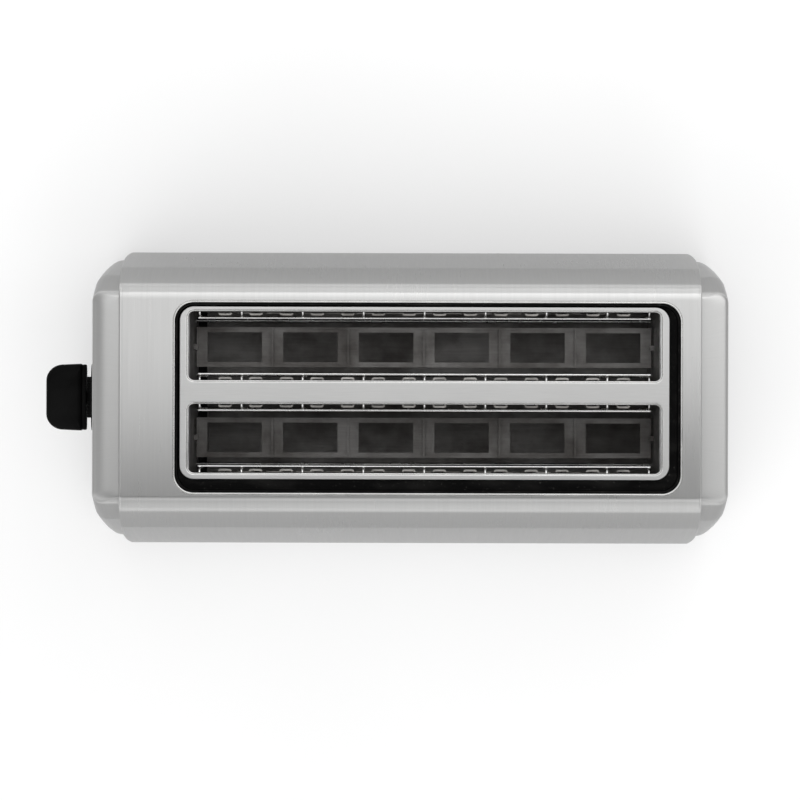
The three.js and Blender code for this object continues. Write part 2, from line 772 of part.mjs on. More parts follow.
// Crumb tray: a shallow pan under both slots, with a moulded handle outside the base.
function addTray() {
  const left = leftPlateIn + chassisTab / 2;
  const right = baseHalfLength + clearance;
  const whole = block([left, right], [-trayHalfWidth, trayHalfWidth], [trayLow, trayLow + trayRimHeight]);
  const hollow = block(
    [left + steelSheet, right + overrun],
    [steelSheet - trayHalfWidth, trayHalfWidth - steelSheet],
    [trayLow + steelSheet, trayLow + trayRimHeight + overrun],
  );
  addPiece("crumb_tray", cut(whole, hollow), "plainSteel");
  const handleTop = floorTop + trayHandleHeight;
  const grip = roundedRectangle(
    0,
    (floorTop + handleTop) / 2,
    2 * trayHandleHalfWidth,
    handleTop - floorTop,
    trayHandleCorner,
  );
  const scoop = rodY(
    trayGripDepth,
    right + trayHandleDepth,
    floorTop,
    -trayHandleHalfWidth / 2,
    trayHandleHalfWidth / 2,
  );
  addPiece("crumb_tray_handle", cut(alongX(grip, right, right + trayHandleDepth), scoop), "blackPlastic");
}

// Chassis end plate, cut for the rack arms, the guard hinges and the tabs of the heater boards. It stands on
// two feet beside the crumb tray, each with a tab that is screwed to the base.
function addEndPlate(name, x0, x1, outward) {
  const trimCorner = plateCorner - trimLedge;
  const cornerIn = Math.max(trimCorner - plateEndBorder + trimLedge - plateFaceInset + chassisSheet, 0);
  const cornerCut = trimCorner - Math.sqrt(trimCorner ** 2 - cornerIn ** 2);
  const half = plateWidth / 2 - trimLedge - clearance - cornerCut;
  const neckLow = trimFloorTop - trimFloor - clearance;
  const sideTop = floorTop + chassisSideRise;
  const shoulder = chassisFootOut - chassisShoulderIn;
  const outline = polygon([
    [-chassisFootOut, floorTop],
    [-chassisFootIn, floorTop],
    [-chassisFootIn, floorTop + chassisArchHeight],
    [chassisFootIn, floorTop + chassisArchHeight],
    [chassisFootIn, floorTop],
    [chassisFootOut, floorTop],
    [chassisFootOut, sideTop],
    [shoulder, neckLow],
    [plateY + half, neckLow],
    [plateY + half, plateTop - slotRimDepth - clearance],
    [plateY - half, plateTop - slotRimDepth - clearance],
    [plateY - half, neckLow],
    [-shoulder, neckLow],
    [-chassisFootOut, sideTop],
  ]);
  const tools = [];
  const through = [x0 - overrun, x1 + overrun];
  for (const { y } of slots) {
    const armHalf = rackArmWidth / 2 + clearance;
    tools.push(
      block(through, [y - armHalf, y + armHalf], [
        rackRest - leverTravel - clearance - overrun,
        rackRest + rackArmHeight + clearance + overrun,
      ]),
    );
    for (const side of [-1, 1]) {
      const hingeY = y + side * guardOffset;
      tools.push(rodX(guardWireRadius + clearance, hingeY, hingeHeight, ...through, smallSides));
      const boardY = y + side * boardOffset;
      const tabHalf = boardSheet / 2 + clearance;
      tools.push(
        block(through, [boardY - tabHalf, boardY + tabHalf], [
          boardMiddle - boardTabHeight / 2 - clearance,
          boardMiddle + boardTabHeight / 2 + clearance,
        ]),
      );
    }
  }
  const tabX = outward < 0 ? [x0 - chassisTab, x0] : [x1, x1 + chassisTab];
  const tabY = [chassisFootIn, chassisFootOut];
  const tabs = [tabY, mirrored(tabY)].map((y) => block(tabX, y, [floorTop, floorTop + chassisSheet]));
  const screwX = outward < 0 ? screwXs[0] : screwXs[1];
  const tabZ = [floorTop - overrun, floorTop + chassisSheet + overrun];
  for (const y of screwYs) tools.push(rodZ(screwRadius + clearance, screwX, y, ...tabZ, smallSides));
  addPiece(name, cut(join(alongX(outline, x0, x1), ...tabs), ...tools), "plainSteel");
}

function addScrews() {
  const seat = floorTop + chassisSheet;
  const screw = turned([
    [0, footHeight + clearance],
    [screwRadius, footHeight + clearance],
    [screwRadius, seat],
    [screwHeadRadius, seat],
    [screwHeadRadius * screwRimShare, seat + screwHeadHeight],
    [0, seat + screwHeadHeight],
  ]);
  const ends = ["left", "right"];
  screwXs.forEach((x, i) =>
    screwYs.forEach((y, j) => {
      addPiece(`chassis_screw_${slots[j].side}_${ends[i]}`, screw, "plainSteel", x, y);
    }),
  );
}

// Heater board: a mica sheet whose edges are notched for the ribbon, with a tab through each end plate.
function boardSolid() {
  const left = leftPlateIn + clearance;
  const right = rightPlateIn - clearance;
  const halfTab = boardTabHeight / 2;
  const whole = block([left, right], [-boardSheet / 2, boardSheet / 2], [boardLow, boardTop]);
  const tab = block(
    [leftPlateOut - boardTabReach, rightPlateOut + boardTabReach],
    [-boardSheet / 2, boardSheet / 2],
    [boardMiddle - halfTab, boardMiddle + halfTab],
  );
  const pitch = (right - left) / notchCount;
  const notches = [];
  for (let i = 0; i < notchCount; i += 1) {
    const x = left + (i + 0.5) * pitch;
    const across = [x - notchWidth / 2, x + notchWidth / 2];
    notches.push(block(across, [-boardSheet, boardSheet], [boardLow - overrun, boardLow + notchDepth]));
    notches.push(block(across, [-boardSheet, boardSheet], [boardTop - notchDepth, boardTop + overrun]));
  }
  return cut(join(whole, tab), ...notches);
}

// Outline of a strip of one width along a path whose corners are all square.
function squareStrip(path, width) {
  const normals = path.slice(1).map(([x, z], i) => {
    const [fromX, fromZ] = path[i];
    const length = Math.hypot(x - fromX, z - fromZ);
    return [(fromZ - z) / length, (x - fromX) / length];
  });
  const side = (reach) =>
    path.map(([x, z], i) => {
      const near = normals.slice(Math.max(i - 1, 0), i + 1);
      return near.reduce(([px, pz], [nx, nz]) => [px + reach * nx, pz + reach * nz], [x, z]);
    });
  return polygon([...side(width / 2), ...side(-width / 2).reverse()]);
}

// Heating ribbon: one flat strip that runs up and down the face of its board.
function ribbonSolid() {
  const left = leftPlateIn + ribbonMargin;
  const pitch = (rightPlateIn - ribbonMargin - left) / (ribbonRuns - 1);
  const path = [];
  for (let i = 0; i < ribbonRuns; i += 1) {
    const run = [boardLow + ribbonMargin, boardTop - ribbonMargin].map((z) => [left + i * pitch, z]);
    path.push(...(i % 2 === 0 ? run : run.reverse()));
  }
  return alongY(squareStrip(path, ribbonWidth), -ribbonSheet / 2, ribbonSheet / 2);
}

// Bread guard: a wire grid about its hinge wire, with flared tips above its top rail.
function guardSolid(outward) {
  const ends = [leftPlateIn + guardEndGap, rightPlateIn - guardEndGap];
  const rise = guardTop - hingeHeight;
  const xs = [...ends];
  for (let i = -guardSideWires; i <= guardSideWires; i += 1) xs.push(plateX + i * guardWirePitch);
  const rails = [
    rodX(guardWireRadius, 0, 0, leftPlateOut - hingeReach, rightPlateOut + hingeReach, wireSides),
    rodX(guardWireRadius, 0, rise, ends[0] - guardWireRadius, ends[1] + guardWireRadius, wireSides),
  ];
  const radius = guardWireRadius * uprightShare;
  const uprights = xs.map((x) => rodZ(radius, x, 0, 0, rise, uprightSides));
  const flare = outward * guardTipFlare;
  const tips = xs.map((x) => barBetween(radius, [x, 0, rise], [x, flare, rise + guardTipRise]));
  return join(...rails, ...uprights, ...tips);
}

// The boards, ribbons and guards on both sides of each slot.
function addHeaters() {
  const board = boardSolid();
  const ribbon = ribbonSolid();
  const ribbonOffset = boardOffset - boardSheet / 2 - clearance - ribbonSheet / 2;
  const guards = { [-1]: guardSolid(-1), 1: guardSolid(1) };
  for (const { side, y } of slots) {
    for (const way of [-1, 1]) {
      const place = `${side}_${way < 0 ? "fore" : "aft"}`;
      addPiece(`heater_board_${place}`, board, "mica", 0, y + way * boardOffset);
      addPiece(`heating_ribbon_${place}`, ribbon, "ribbon", 0, y + way * ribbonOffset);
      addPiece(`bread_guard_${place}`, guards[way], "wire", 0, y + way * guardOffset, hingeHeight);
    }
  }
}

// Bread rack: a channel with windows and cross cradles. One arm reaches the carriage through the left end
// plate, and the other is guided by the right one.
function addRacks() {
  const left = leftPlateIn + rackEndGap;
  const right = rightPlateIn - rackEndGap;
  const pitch = (right - left) / rackWindows;
  const channel = block([left, right], about(0, rackHalfWidth), [0, rackLip]);
  const trough = block([left - overrun, right + overrun], about(0, rackHalfWidth - chassisSheet), [
    chassisSheet,
    rackLip + overrun,
  ]);
  const windows = Array.from({ length: rackWindows }, (_, i) =>
    block(
      about(left + (i + 0.5) * pitch, (pitch * rackWindowShare) / 2),
      about(0, rackWindowHalfWidth),
      [-overrun, chassisSheet + overrun],
    ),
  );
  const cradles = Array.from({ length: rackWindows - 1 }, (_, i) =>
    block(about(left + (i + 1) * pitch, rackCradleSheet / 2), about(0, rackHalfWidth), [0, rackCradleRise]),
  );
  const armY = about(0, rackArmWidth / 2);
  const arms = [
    block([carriageIn, left + chassisSheet], armY, [0, rackArmHeight]),
    block([right - chassisSheet, rightPlateOut + hingeReach], armY, [0, rackArmHeight]),
  ];
  const rack = join(cut(channel, trough, ...windows), ...cradles, ...arms);
  for (const { side, y } of slots) addPiece(`bread_rack_${side}`, rack, "plainSteel", 0, y, rackRest);
}

// Lift carriage: a plate that carries both racks, and a shelf that slides on the guide rods.
function addCarriage() {
  const plate = block(
    [carriageOut, carriageIn],
    [slots[0].y - carriageMargin, slots[1].y + carriageMargin],
    [rackRest - carriageDrop, rackRest + carriageRise],
  );
  const shelf = block([shelfOut, carriageOut], shelfY, [shelfLow, shelfTop]);
  const sleeve = guideRodRadius + clearance + bushingWall;
  const through = [shelfLow - overrun, shelfTop + overrun];
  const bores = rodYs.map((y) => rodZ(sleeve + clearance, guideRodX, y, ...through));
  addPiece("carriage_bracket", cut(join(plate, shelf), ...bores), "plainSteel");
  const middle = (shelfLow + shelfTop) / 2;
  rodYs.forEach((y, i) => {
    const z = about(middle, bushingLength / 2);
    const bore = rodZ(guideRodRadius + clearance, guideRodX, y, z[0] - overrun, z[1] + overrun);
    addPiece(`carriage_bushing_${slots[i].side}`, cut(rodZ(sleeve, guideRodX, y, ...z), bore), "cream");
  });
  const [armatureX, armatureY] = [about(guideRodX, armatureHalf), about(slotsY, armatureHalf)];
  addPiece("magnet_armature", block(armatureX, armatureY, [armatureLow, shelfLow]), "plainSteel");
}

// Guide rods from the base to a bracket on the left end plate.
function addGuides() {
  rodYs.forEach((y, i) => {
    const rod = rodZ(guideRodRadius, guideRodX, y, floorTop, guideBracketTop + rodTopReach);
    addPiece(`guide_rod_${slots[i].side}`, rod, "wire");
  });
  const sheet = block([shelfOut, leftPlateOut], shelfY, [guideBracketLow, guideBracketTop]);
  const flange = block([leftPlateOut - carriageSheet, leftPlateOut], shelfY, [
    guideBracketTop - guideBracketFlange,
    guideBracketTop,
  ]);
  const bores = rodYs.map((y) =>
    rodZ(guideRodRadius + clearance, guideRodX, y, guideBracketLow - overrun, guideBracketTop + overrun),
  );
  addPiece("guide_bracket", cut(join(sheet, flange), ...bores), "plainSteel");
}

class Helix extends THREE.Curve {
  constructor(radius, turns, low, high) {
    super();
    Object.assign(this, { radius, turns, low, high });
  }

  getPoint(share) {
    const turn = 2 * Math.PI * this.turns * share;
    const z = this.low + (this.high - this.low) * share;
    return new THREE.Vector3(this.radius * Math.cos(turn), this.radius * Math.sin(turn), z);
  }
}

// Return spring: a coil pulled between the carriage's shelf and the guide bracket.
function addSpring() {
  const wire = new THREE.Shape();
  for (let i = 0; i < springSides; i += 1) {
    const turn = (2 * Math.PI * i) / springSides;
    const corner = [springWireRadius * Math.cos(turn), springWireRadius * Math.sin(turn)];
    if (i === 0) wire.moveTo(...corner);
    else wire.lineTo(...corner);
  }
  const inset = clearance + springWireRadius;
  const radius = springRadius - springWireRadius;
  const path = new Helix(radius, springTurns, shelfTop + inset, guideBracketLow - inset);
  const coil = new THREE.ExtrudeGeometry(wire, { steps: springTurns * springSteps, extrudePath: path });
  addPiece("return_spring", solidOf(coil), "wire", guideRodX, springY);
}

// A cushion-edged slab: a shape drawn at its full size less the bevel, extruded and rounded on both faces.
function pillow(shape, height, bevel, steps) {
  return new THREE.ExtrudeGeometry(shape, {
    depth: height - 2 * bevel,
    bevelThickness: bevel,
    bevelSize: bevel,
    bevelSegments: steps,
    curveSegments: arcSteps,
  }).translate(0, 0, bevel);
}

// Lever: an arm that stands on the carriage and passes through the end cap, with a moulded knob on its end.
function addLever() {
  const front = -leverReach;
  const back = front + knobDepth;
  const tip = back - knobPocketDepth + clearance;
  const low = leverHeight - leverArmHeight / 2;
  const top = leverHeight + leverArmHeight / 2;
  const arm = polygon([
    [tip, low],
    [carriageOut - leverArmStem, low],
    [carriageOut - leverArmStem, shelfTop],
    [carriageOut, shelfTop],
    [carriageOut, top],
    [tip, top],
  ]);
  addPiece("lever_arm", alongY(arm, -leverArmWidth / 2, leverArmWidth / 2), "plainSteel");

  const outline = new THREE.Shape();
  const frontCorner = knobCorner - knobBevel;
  const backCorner = knobBackCorner - knobBevel;
  const frontX = front + knobCorner;
  const backX = back - knobBackCorner;
  const frontY = knobFrontHalfWidth - knobCorner;
  const backY = knobHalfWidth - knobBackCorner;
  outline.absarc(backX, backY, backCorner, 0, Math.PI / 2);
  outline.absarc(frontX, frontY, frontCorner, Math.PI / 2, Math.PI);
  outline.absarc(frontX, -frontY, frontCorner, Math.PI, 1.5 * Math.PI);
  outline.absarc(backX, -backY, backCorner, 1.5 * Math.PI, 2 * Math.PI);
  outline.closePath();
  const body = pillow(outline, knobHeight, knobBevel, knobBevelSteps);
  body.translate(0, 0, leverHeight - knobHeight / 2);
  const armY = about(0, leverArmWidth / 2 + clearance);
  const armZ = about(leverHeight, leverArmHeight / 2 + clearance);
  const pocket = block([back - knobPocketDepth, back + overrun], armY, armZ);
  addPiece("lever_knob", cut(solidOf(body), pocket), "blackPlastic");

  const backWidth = 2 * (knobHalfWidth - knobBackInset);
  const collar = roundedRectangle(0, leverHeight, backWidth, knobHeight - 2 * knobBackInset, knobBackCorner);
  const hole = block([back - overrun, back + knobBackDepth + overrun], armY, armZ);
  addPiece("lever_knob_collar", cut(alongX(collar, back, back + knobBackDepth), hole), "blackPlastic");
}

// Buttons: each passes through the panel and the cap, and its flange behind the cap keeps it in.
function addButtons() {
  const outside = panelFaceX - buttonProud;
  const inside = circuitX - switchDepth - buttonTravel - clearance;
  const flangeX = capInnerX + clearance;
  buttonNames.forEach((name, i) => {
    const y = (i - 1) * buttonPitch;
    const slim = buttonOutline(y, buttonHeight, -buttonBevel);
    const cap = pillow(slim, inside - outside, buttonBevel, 1)
      .rotateX(Math.PI / 2)
      .rotateZ(Math.PI / 2)
      .translate(outside, 0, 0);
    const flange = alongX(buttonOutline(y, buttonHeight, buttonFlange), flangeX, flangeX + buttonFlangeSheet);
    addPiece(`${name}_button`, join(solidOf(cap), flange), "blackPlastic");
    const contactX = [circuitX - switchDepth, circuitX];
    const contact = block(contactX, about(y, switchHalf), about(buttonHeight, switchHalf));
    addPiece(`${name}_switch`, contact, "blackPlastic");
  });
}

// Browning dial: a skirt and a fluted grip with a raised pointer, on the shaft of the potentiometer.
function addDial() {
  const backX = panelFaceX - dialGap;
  const skirt = latheOf(
    [
      [0, 0],
      [dialSkirtRadius, 0],
      [dialSkirtRadius, dialSkirtDepth - dialBevel],
      [dialSkirtRadius - dialBevel, dialSkirtDepth],
      [0, dialSkirtDepth],
    ],
    dialFlutes * 2,
  ).rotateZ(Math.PI / 2);
  const flutes = [];
  for (let i = 0; i < dialFlutes * dialFluteSteps; i += 1) {
    const turn = (2 * Math.PI * i) / (dialFlutes * dialFluteSteps);
    const radius = dialGripRadius - dialBevel - (dialFluteDepth / 2) * (1 - Math.cos(dialFlutes * turn));
    flutes.push([radius * Math.cos(turn), radius * Math.sin(turn)]);
  }
  const grip = pillow(polygon(flutes), dialSkirtDepth + dialGripDepth, dialBevel, 1).rotateY(-Math.PI / 2);
  const face = -(dialSkirtDepth + dialGripDepth);
  const pointer = block([face - dialPointerRise, face + dialPointerRise], about(0, dialPointerHalfWidth), [
    0,
    dialGripRadius - dialBevel - dialFluteDepth,
  ]);
  const bore = rodX(dialShaftRadius + clearance, 0, 0, -dialShaftEngage, overrun);
  const body = cut(join(solidOf(skirt), solidOf(grip), pointer), bore);
  addPiece("browning_dial", body, "blackPlastic", backX, 0, dialHeight);
  const potentiometerX = circuitX - potentiometerDepth;
  const shaft = rodX(dialShaftRadius, 0, 0, clearance - dialShaftEngage, potentiometerX - clearance - backX);
  addPiece("dial_shaft", shaft, "plainSteel", backX, 0, dialHeight);
  const potentiometerZ = about(dialHeight, potentiometerHalf);
  const housing = block([potentiometerX, circuitX], about(0, potentiometerHalf), potentiometerZ);
  addPiece("potentiometer", housing, "blackPlastic");
}

function addCircuit() {
  const board = block([circuitX, circuitX + circuitSheet], about(0, circuitHalfWidth), [
    floorTop + circuitRise,
    floorTop + circuitRise + circuitHeight,
  ]);
  addPiece("circuit_board", board, "laminate");
}

// Electromagnet: a core on a bench, with its coil, just under the armature when the lift is down.
function addMagnet() {
  const benchTop = coreTop - coreHeadSheet - coilHeight - 2 * clearance;
  const bench = cut(
    block(about(guideRodX, benchHalfX), about(slotsY, benchHalfY), [floorTop, benchTop]),
    block(about(guideRodX, benchHalfX - benchSheet), about(slotsY, benchHalfY + overrun), [
      floorTop - overrun,
      benchTop - benchSheet,
    ]),
  );
  addPiece("magnet_bench", bench, "plainSteel");
  const core = join(
    rodZ(coreRadius, guideRodX, slotsY, benchTop, coreTop),
    rodZ(coreHeadRadius, guideRodX, slotsY, coreTop - coreHeadSheet, coreTop),
  );
  addPiece("magnet_core", core, "plainSteel");
  const coilZ = [benchTop + clearance, benchTop + clearance + coilHeight];
  const bore = rodZ(coreRadius + clearance, guideRodX, slotsY, coilZ[0] - overrun, coilZ[1] + overrun);
  addPiece("magnet_coil", cut(rodZ(coilRadius, guideRodX, slotsY, ...coilZ), bore), "copper");
}

// Mains inlet: a bushing in the rear wall of the base, and the terminal block inside it.
function addInlet() {
  const inside = baseHalfWidth - baseWall - bushingInside;
  const sleeve = rodY(bushingRadius, terminalX, bushingHeight, inside, baseHalfWidth + bushingFlangeSheet);
  const flange = rodY(
    bushingRadius + bushingFlange,
    terminalX,
    bushingHeight,
    baseHalfWidth,
    baseHalfWidth + bushingFlangeSheet,
  );
  const bore = rodY(
    bushingBore,
    terminalX,
    bushingHeight,
    inside - overrun,
    baseHalfWidth + bushingFlangeSheet + overrun,
  );
  addPiece("cord_bushing", cut(join(sleeve, flange), bore), "softBlack");
  const top = floorTop + terminalHeight;
  const terminalY = [terminalIn, terminalIn + terminalWidth];
  const body = block(about(terminalX, terminalLength / 2), terminalY, [floorTop, top]);
  const wells = [-1, 1].map((side) =>
    rodZ(
      terminalWellRadius,
      terminalX + (side * terminalLength) / 4,
      terminalIn + terminalWidth / 2,
      top - terminalWellDepth,
      top + overrun,
    ),
  );
  addPiece("terminal_block", cut(body, ...wells), "cream");
}

addWrap();
addCaps();
addTrim();
addSlotPlate();
addPanel();
addBase();
addFeet();
addTray();
addEndPlate("chassis_end_plate_left", leftPlateOut, leftPlateIn, -1);
addEndPlate("chassis_end_plate_right", rightPlateIn, rightPlateOut, 1);
addScrews();
addHeaters();
addRacks();
addCarriage();
addGuides();
addSpring();
addLever();
addButtons();
addDial();
addCircuit();
addMagnet();
addInlet();

export default toaster;
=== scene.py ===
"""Looks of a long-slot toaster: brushed steel housing, black trim, slot plate, wire guards, lever and controls.

Metres, +Z up. X runs along the slots with the lever at the -X end, and +Y is the rear. Shapes are drawn about the
middle of the housing and shifted by MIDDLE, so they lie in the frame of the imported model.
"""

import json
import math

import bmesh
import bpy
import numpy as np
from mathutils import Matrix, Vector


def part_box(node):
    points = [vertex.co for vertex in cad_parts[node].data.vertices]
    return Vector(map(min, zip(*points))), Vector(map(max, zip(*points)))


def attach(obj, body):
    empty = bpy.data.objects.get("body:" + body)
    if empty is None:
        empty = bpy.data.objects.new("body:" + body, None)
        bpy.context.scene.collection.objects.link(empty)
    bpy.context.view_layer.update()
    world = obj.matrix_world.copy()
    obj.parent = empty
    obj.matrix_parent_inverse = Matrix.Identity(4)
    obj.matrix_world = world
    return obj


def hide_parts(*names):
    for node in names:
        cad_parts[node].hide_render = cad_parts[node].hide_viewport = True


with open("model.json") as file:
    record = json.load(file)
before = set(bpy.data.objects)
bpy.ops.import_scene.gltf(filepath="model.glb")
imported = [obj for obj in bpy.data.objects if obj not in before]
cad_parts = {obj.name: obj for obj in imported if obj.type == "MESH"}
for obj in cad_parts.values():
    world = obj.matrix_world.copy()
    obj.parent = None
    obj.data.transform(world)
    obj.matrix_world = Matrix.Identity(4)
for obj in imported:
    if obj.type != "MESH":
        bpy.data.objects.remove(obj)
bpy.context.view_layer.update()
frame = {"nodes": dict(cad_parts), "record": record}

bl_info = {
    "name": "Long-slot toaster",
    "version": (1, 0, 0),
    "blender": (4, 5, 0),
    "location": "View3D > Sidebar > Toaster",
    "description": "Builds the visible pieces, finishes and studio of a long-slot toaster",
    "category": "Add Mesh",
}

MIDDLE = sum(corner[0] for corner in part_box("wrap_shell")) / 2


class Span:
    """Corners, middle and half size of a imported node, measured from the middle of the housing."""

    def __init__(self, node):
        self.low, self.high = np.array(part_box(node)) - (MIDDLE, 0, 0)
        self.middle, self.half = (self.low + self.high) / 2, (self.high - self.low) / 2


WRAP = Span("wrap_shell")
SEAM, FOOT_HALF, TOP = WRAP.high
FOOT = WRAP.low[2]
END = Span("right_end_cap").high[0]
TRIM, PLATE, PANEL = Span("slot_trim"), Span("slot_plate"), Span("control_panel")
KNOB, COLLAR, DIAL = Span("lever_knob"), Span("lever_knob_collar"), Span("browning_dial")
PLACES = ("front_fore", "front_aft", "rear_fore", "rear_aft")
BUTTONS = ("cancel", "reheat", "defrost")
FIT = 0.0003  # room between the trim and the wrap's lip


# Sizes and colours that a user would change


def size(name, default, description):
    return bpy.props.FloatProperty(name=name, description=description, default=default, unit="LENGTH", precision=5)


def angle(name, degrees, description):
    default = math.radians(degrees)
    return bpy.props.FloatProperty(name=name, description=description, default=default, subtype="ANGLE")


def colour(name, default, description):
    return bpy.props.FloatVectorProperty(
        name=name, description=description, default=default, size=3, min=0.0, max=1.0, subtype="COLOR"
    )


class HousingSizes(bpy.types.PropertyGroup):
    sheet: size("Sheet", 0.0008, "Thickness of the steel of wrap, caps and slot plate")
    flat_half: size("Flat half width", 0.058, "From the middle to the end of the flat top")
    edge_radius: size("Edge radius", 0.010, "Round edge between the flat top and the shoulder")
    shoulder_spread: size("Shoulder spread", 0.0195, "Crease outside the flat top")
    shoulder_drop: size("Shoulder drop", 0.047, "Crease below the top")
    shoulder_bow: angle("Shoulder bow", 2.5, "Half of the turn of the bowed shoulder")
    crease_radius: size("Crease radius", 0.008, "Rounding of the crease between shoulder and wall")
    wall_bow: size("Wall bow", 0.0008, "How far the lower wall bows out of its chord")
    hem_radius: size("Hem radius", 0.0008, "Rounding of the hem at the foot")
    hem_width: size("Hem width", 0.003, "Hem turned in at the foot")
    bead_height: size("Bead height", 0.0004, "Rolled lip of the opening above the flat top")
    bead_width: size("Bead width", 0.0014, "Rolled lip of the opening, across")
    lip_depth: size("Lip depth", 0.006, "Rolled lip of the opening, downwards")
    opening_corner: size("Opening corner", 0.011, "Corner radius of the opening")
    seam_roll: size("Seam roll", 0.0008, "Radius of the rolled ends of the wrap")
    seam_groove: size("Seam groove", 0.00006, "Depth of the groove beside the rolled ends")
    seam_flare: size("Seam flare", 0.0022, "How far the wrap's ends bow outwards between the top and the foot")
    cap_step: size("Cap step", 0.0048, "End caps below the surface of the wrap")
    cap_tuck: size("Cap tuck", 0.006, "End caps under the wrap")
    cap_corner_high: size("Cap corner high", 0.0060, "Upright corners of the caps, at the top")
    cap_corner_low: size("Cap corner low", 0.0115, "Upright corners of the caps, at the foot")
    cap_edge_along: size("Cap edge along", 0.0150, "Rounding between the cap's top and its end, along the slots")
    cap_edge_down: size("Cap edge down", 0.0034, "Rounding between the cap's top and its end, downwards")


class SlotSizes(bpy.types.PropertyGroup):
    slot_half_length: size("Slot half length", 0.140, "Half of a slot's length")
    slot_half_width: size("Slot half width", 0.02095, "Half of a slot's width")
    slot_corner: size("Slot corner", 0.0043, "Corner radius of a slot")
    slot_offset: size("Slot offset", 0.0273, "From the middle between the slots to the middle of each")
    slots_y: size("Slots across", 0.00325, "Middle between the slots, from the middle plane")
    slot_fold: size("Slot fold", 0.0032, "Folded edge round each slot")
    slot_roll: size("Slot roll", 0.0006, "Rounding of the edge round each slot")
    slot_hem: size("Slot hem", 0.00032, "Radius of the hem at the foot of each slot's folded edge")
    plate_corner: size("Plate corner", 0.0085, "Corner radius of the slot plate")
    plate_roll: size("Plate roll", 0.0006, "Rounding of the plate's outer edge")
    trim_wall: size("Trim wall", 0.0012, "Upright wall of the black trim")
    trim_floor: size("Trim floor", 0.002, "Floor of the black trim")
    trim_cove: size("Trim cove", 0.001, "Rounding between the trim's wall and its floor")
    trim_ledge: size("Trim ledge", 0.0016, "Trim floor under the plate's rim")
    hinge_radius: size("Hinge wire radius", 0.001, "Hinge wire of the bread guards")
    rail_radius: size("Rail radius", 0.0007, "Top rail of the bread guards")
    wire_radius: size("Wire radius", 0.0006, "Upright wires of the bread guards")
    wire_pitch: size("Wire pitch", 0.036, "From one upright wire to the next")
    end_gap: size("End gap", 0.006, "From the last upright wire to the end plate")
    tip_rise: size("Tip rise", 0.006, "Flared tips above the top rail")
    tip_flare: size("Tip flare", 0.0028, "Radius of the bend of the tips, away from the bread")
    ribbon_pitch: size("Ribbon pitch", 0.0182, "From one loop of the heating ribbon to the next")
    ribbon_loop: size("Ribbon loop", 0.0070, "Width of one loop of the heating ribbon")
    ribbon_width: size("Ribbon width", 0.0011, "Width of the heating ribbon")
    ribbon_fold: size("Ribbon fold", 0.0004, "Radius of the bend where a loop lies down over the board's edge")
    ribbon_level: size("Ribbon level", 0.0021, "Part of each loop that lies down")


class ControlSizes(bpy.types.PropertyGroup):
    panel_corner: size("Panel corner", 0.008, "Corner radius of the control panel")
    panel_edge: size("Panel edge", 0.0006, "Rounding of the panel's edge")
    lever_slot_half: size("Lever slot half width", 0.0034, "Half of the width of the lever's slot")
    lever_slot_low: size("Lever slot low end", 0.085, "Lower end of the lever's slot above the table")
    lever_slot_high: size("Lever slot high end", 0.145, "Upper end of the lever's slot above the table")
    knob_front_half: size("Knob front half width", 0.019, "Half of the knob's width at its front")
    knob_corner: size("Knob corner", 0.0095, "Front corners of the knob")
    knob_back_corner: size("Knob back corner", 0.0012, "Back corners of the knob")
    knob_edge: size("Knob edge", 0.0034, "Rounding of the knob's upper and lower edges")
    knob_crown: size("Knob crown", 0.0005, "How far the knob's top rises to its middle")
    collar_inset: size("Collar inset", 0.0004, "Collar behind the knob, narrower at each side")
    collar_edge: size("Collar edge", 0.0006, "Rounding of the collar's edge")
    button_half_width: size("Button half width", 0.0049, "Half of a button's width")
    button_half_height: size("Button half height", 0.0034, "Half of a button's height")
    button_corner: size("Button corner", 0.0016, "Corner radius of a button")
    button_edge: size("Button edge", 0.0008, "Rounding of a button's edge")
    button_dish: size("Button dish", 0.00035, "Hollow of a button's face")
    frame_bead: size("Frame bead", 0.0005, "Radius of the bead round each button")
    dial_skirt_radius: size("Dial skirt radius", 0.016, "Radius of the dial's skirt")
    dial_skirt_depth: size("Dial skirt depth", 0.003, "Depth of the dial's skirt")
    dial_grip_radius: size("Dial grip radius", 0.0134, "Radius of the dial's grip")
    dial_grip_depth: size("Dial grip depth", 0.011, "Depth of the dial's grip")
    dial_flute: size("Dial flute", 0.0007, "Depth of the flutes in the dial's grip")
    dial_flutes: bpy.props.IntProperty(
        name="Dial flutes", description="Number of flutes round the dial", default=32, min=8, max=64
    )
    tick_near: size("Tick near end", 0.0166, "From the dial's axis to the near end of each tick")
    tick_far: size("Tick far end", 0.0180, "From the dial's axis to the far end of each tick")
    number_height: size("Number height", 0.0028, "Height of the numbers round the dial")
    number_reach: size("Number reach", 0.0203, "From the dial's axis to the middle of each number")


class FinishColours(bpy.types.PropertyGroup):
    steel: colour("Steel", (0.57, 0.57, 0.565), "Brushed steel of the wrap")
    cap_steel: colour("Cap steel", (0.53, 0.53, 0.525), "Brushed steel of the end caps")
    plate: colour("Slot plate", (0.58, 0.58, 0.575), "Satin steel of the slot plate")
    black: colour("Black plastic", (0.0045, 0.0045, 0.0045), "Moulded plastic of trim, panel, knob and base")
    print_white: colour("Print", (0.62, 0.62, 0.60), "Printed marks on the panel")
    streaks: bpy.props.FloatProperty(
        name="Streaks", description="Strength of the brushing", default=0.09, min=0.0, max=1.0, subtype="FACTOR"
    )


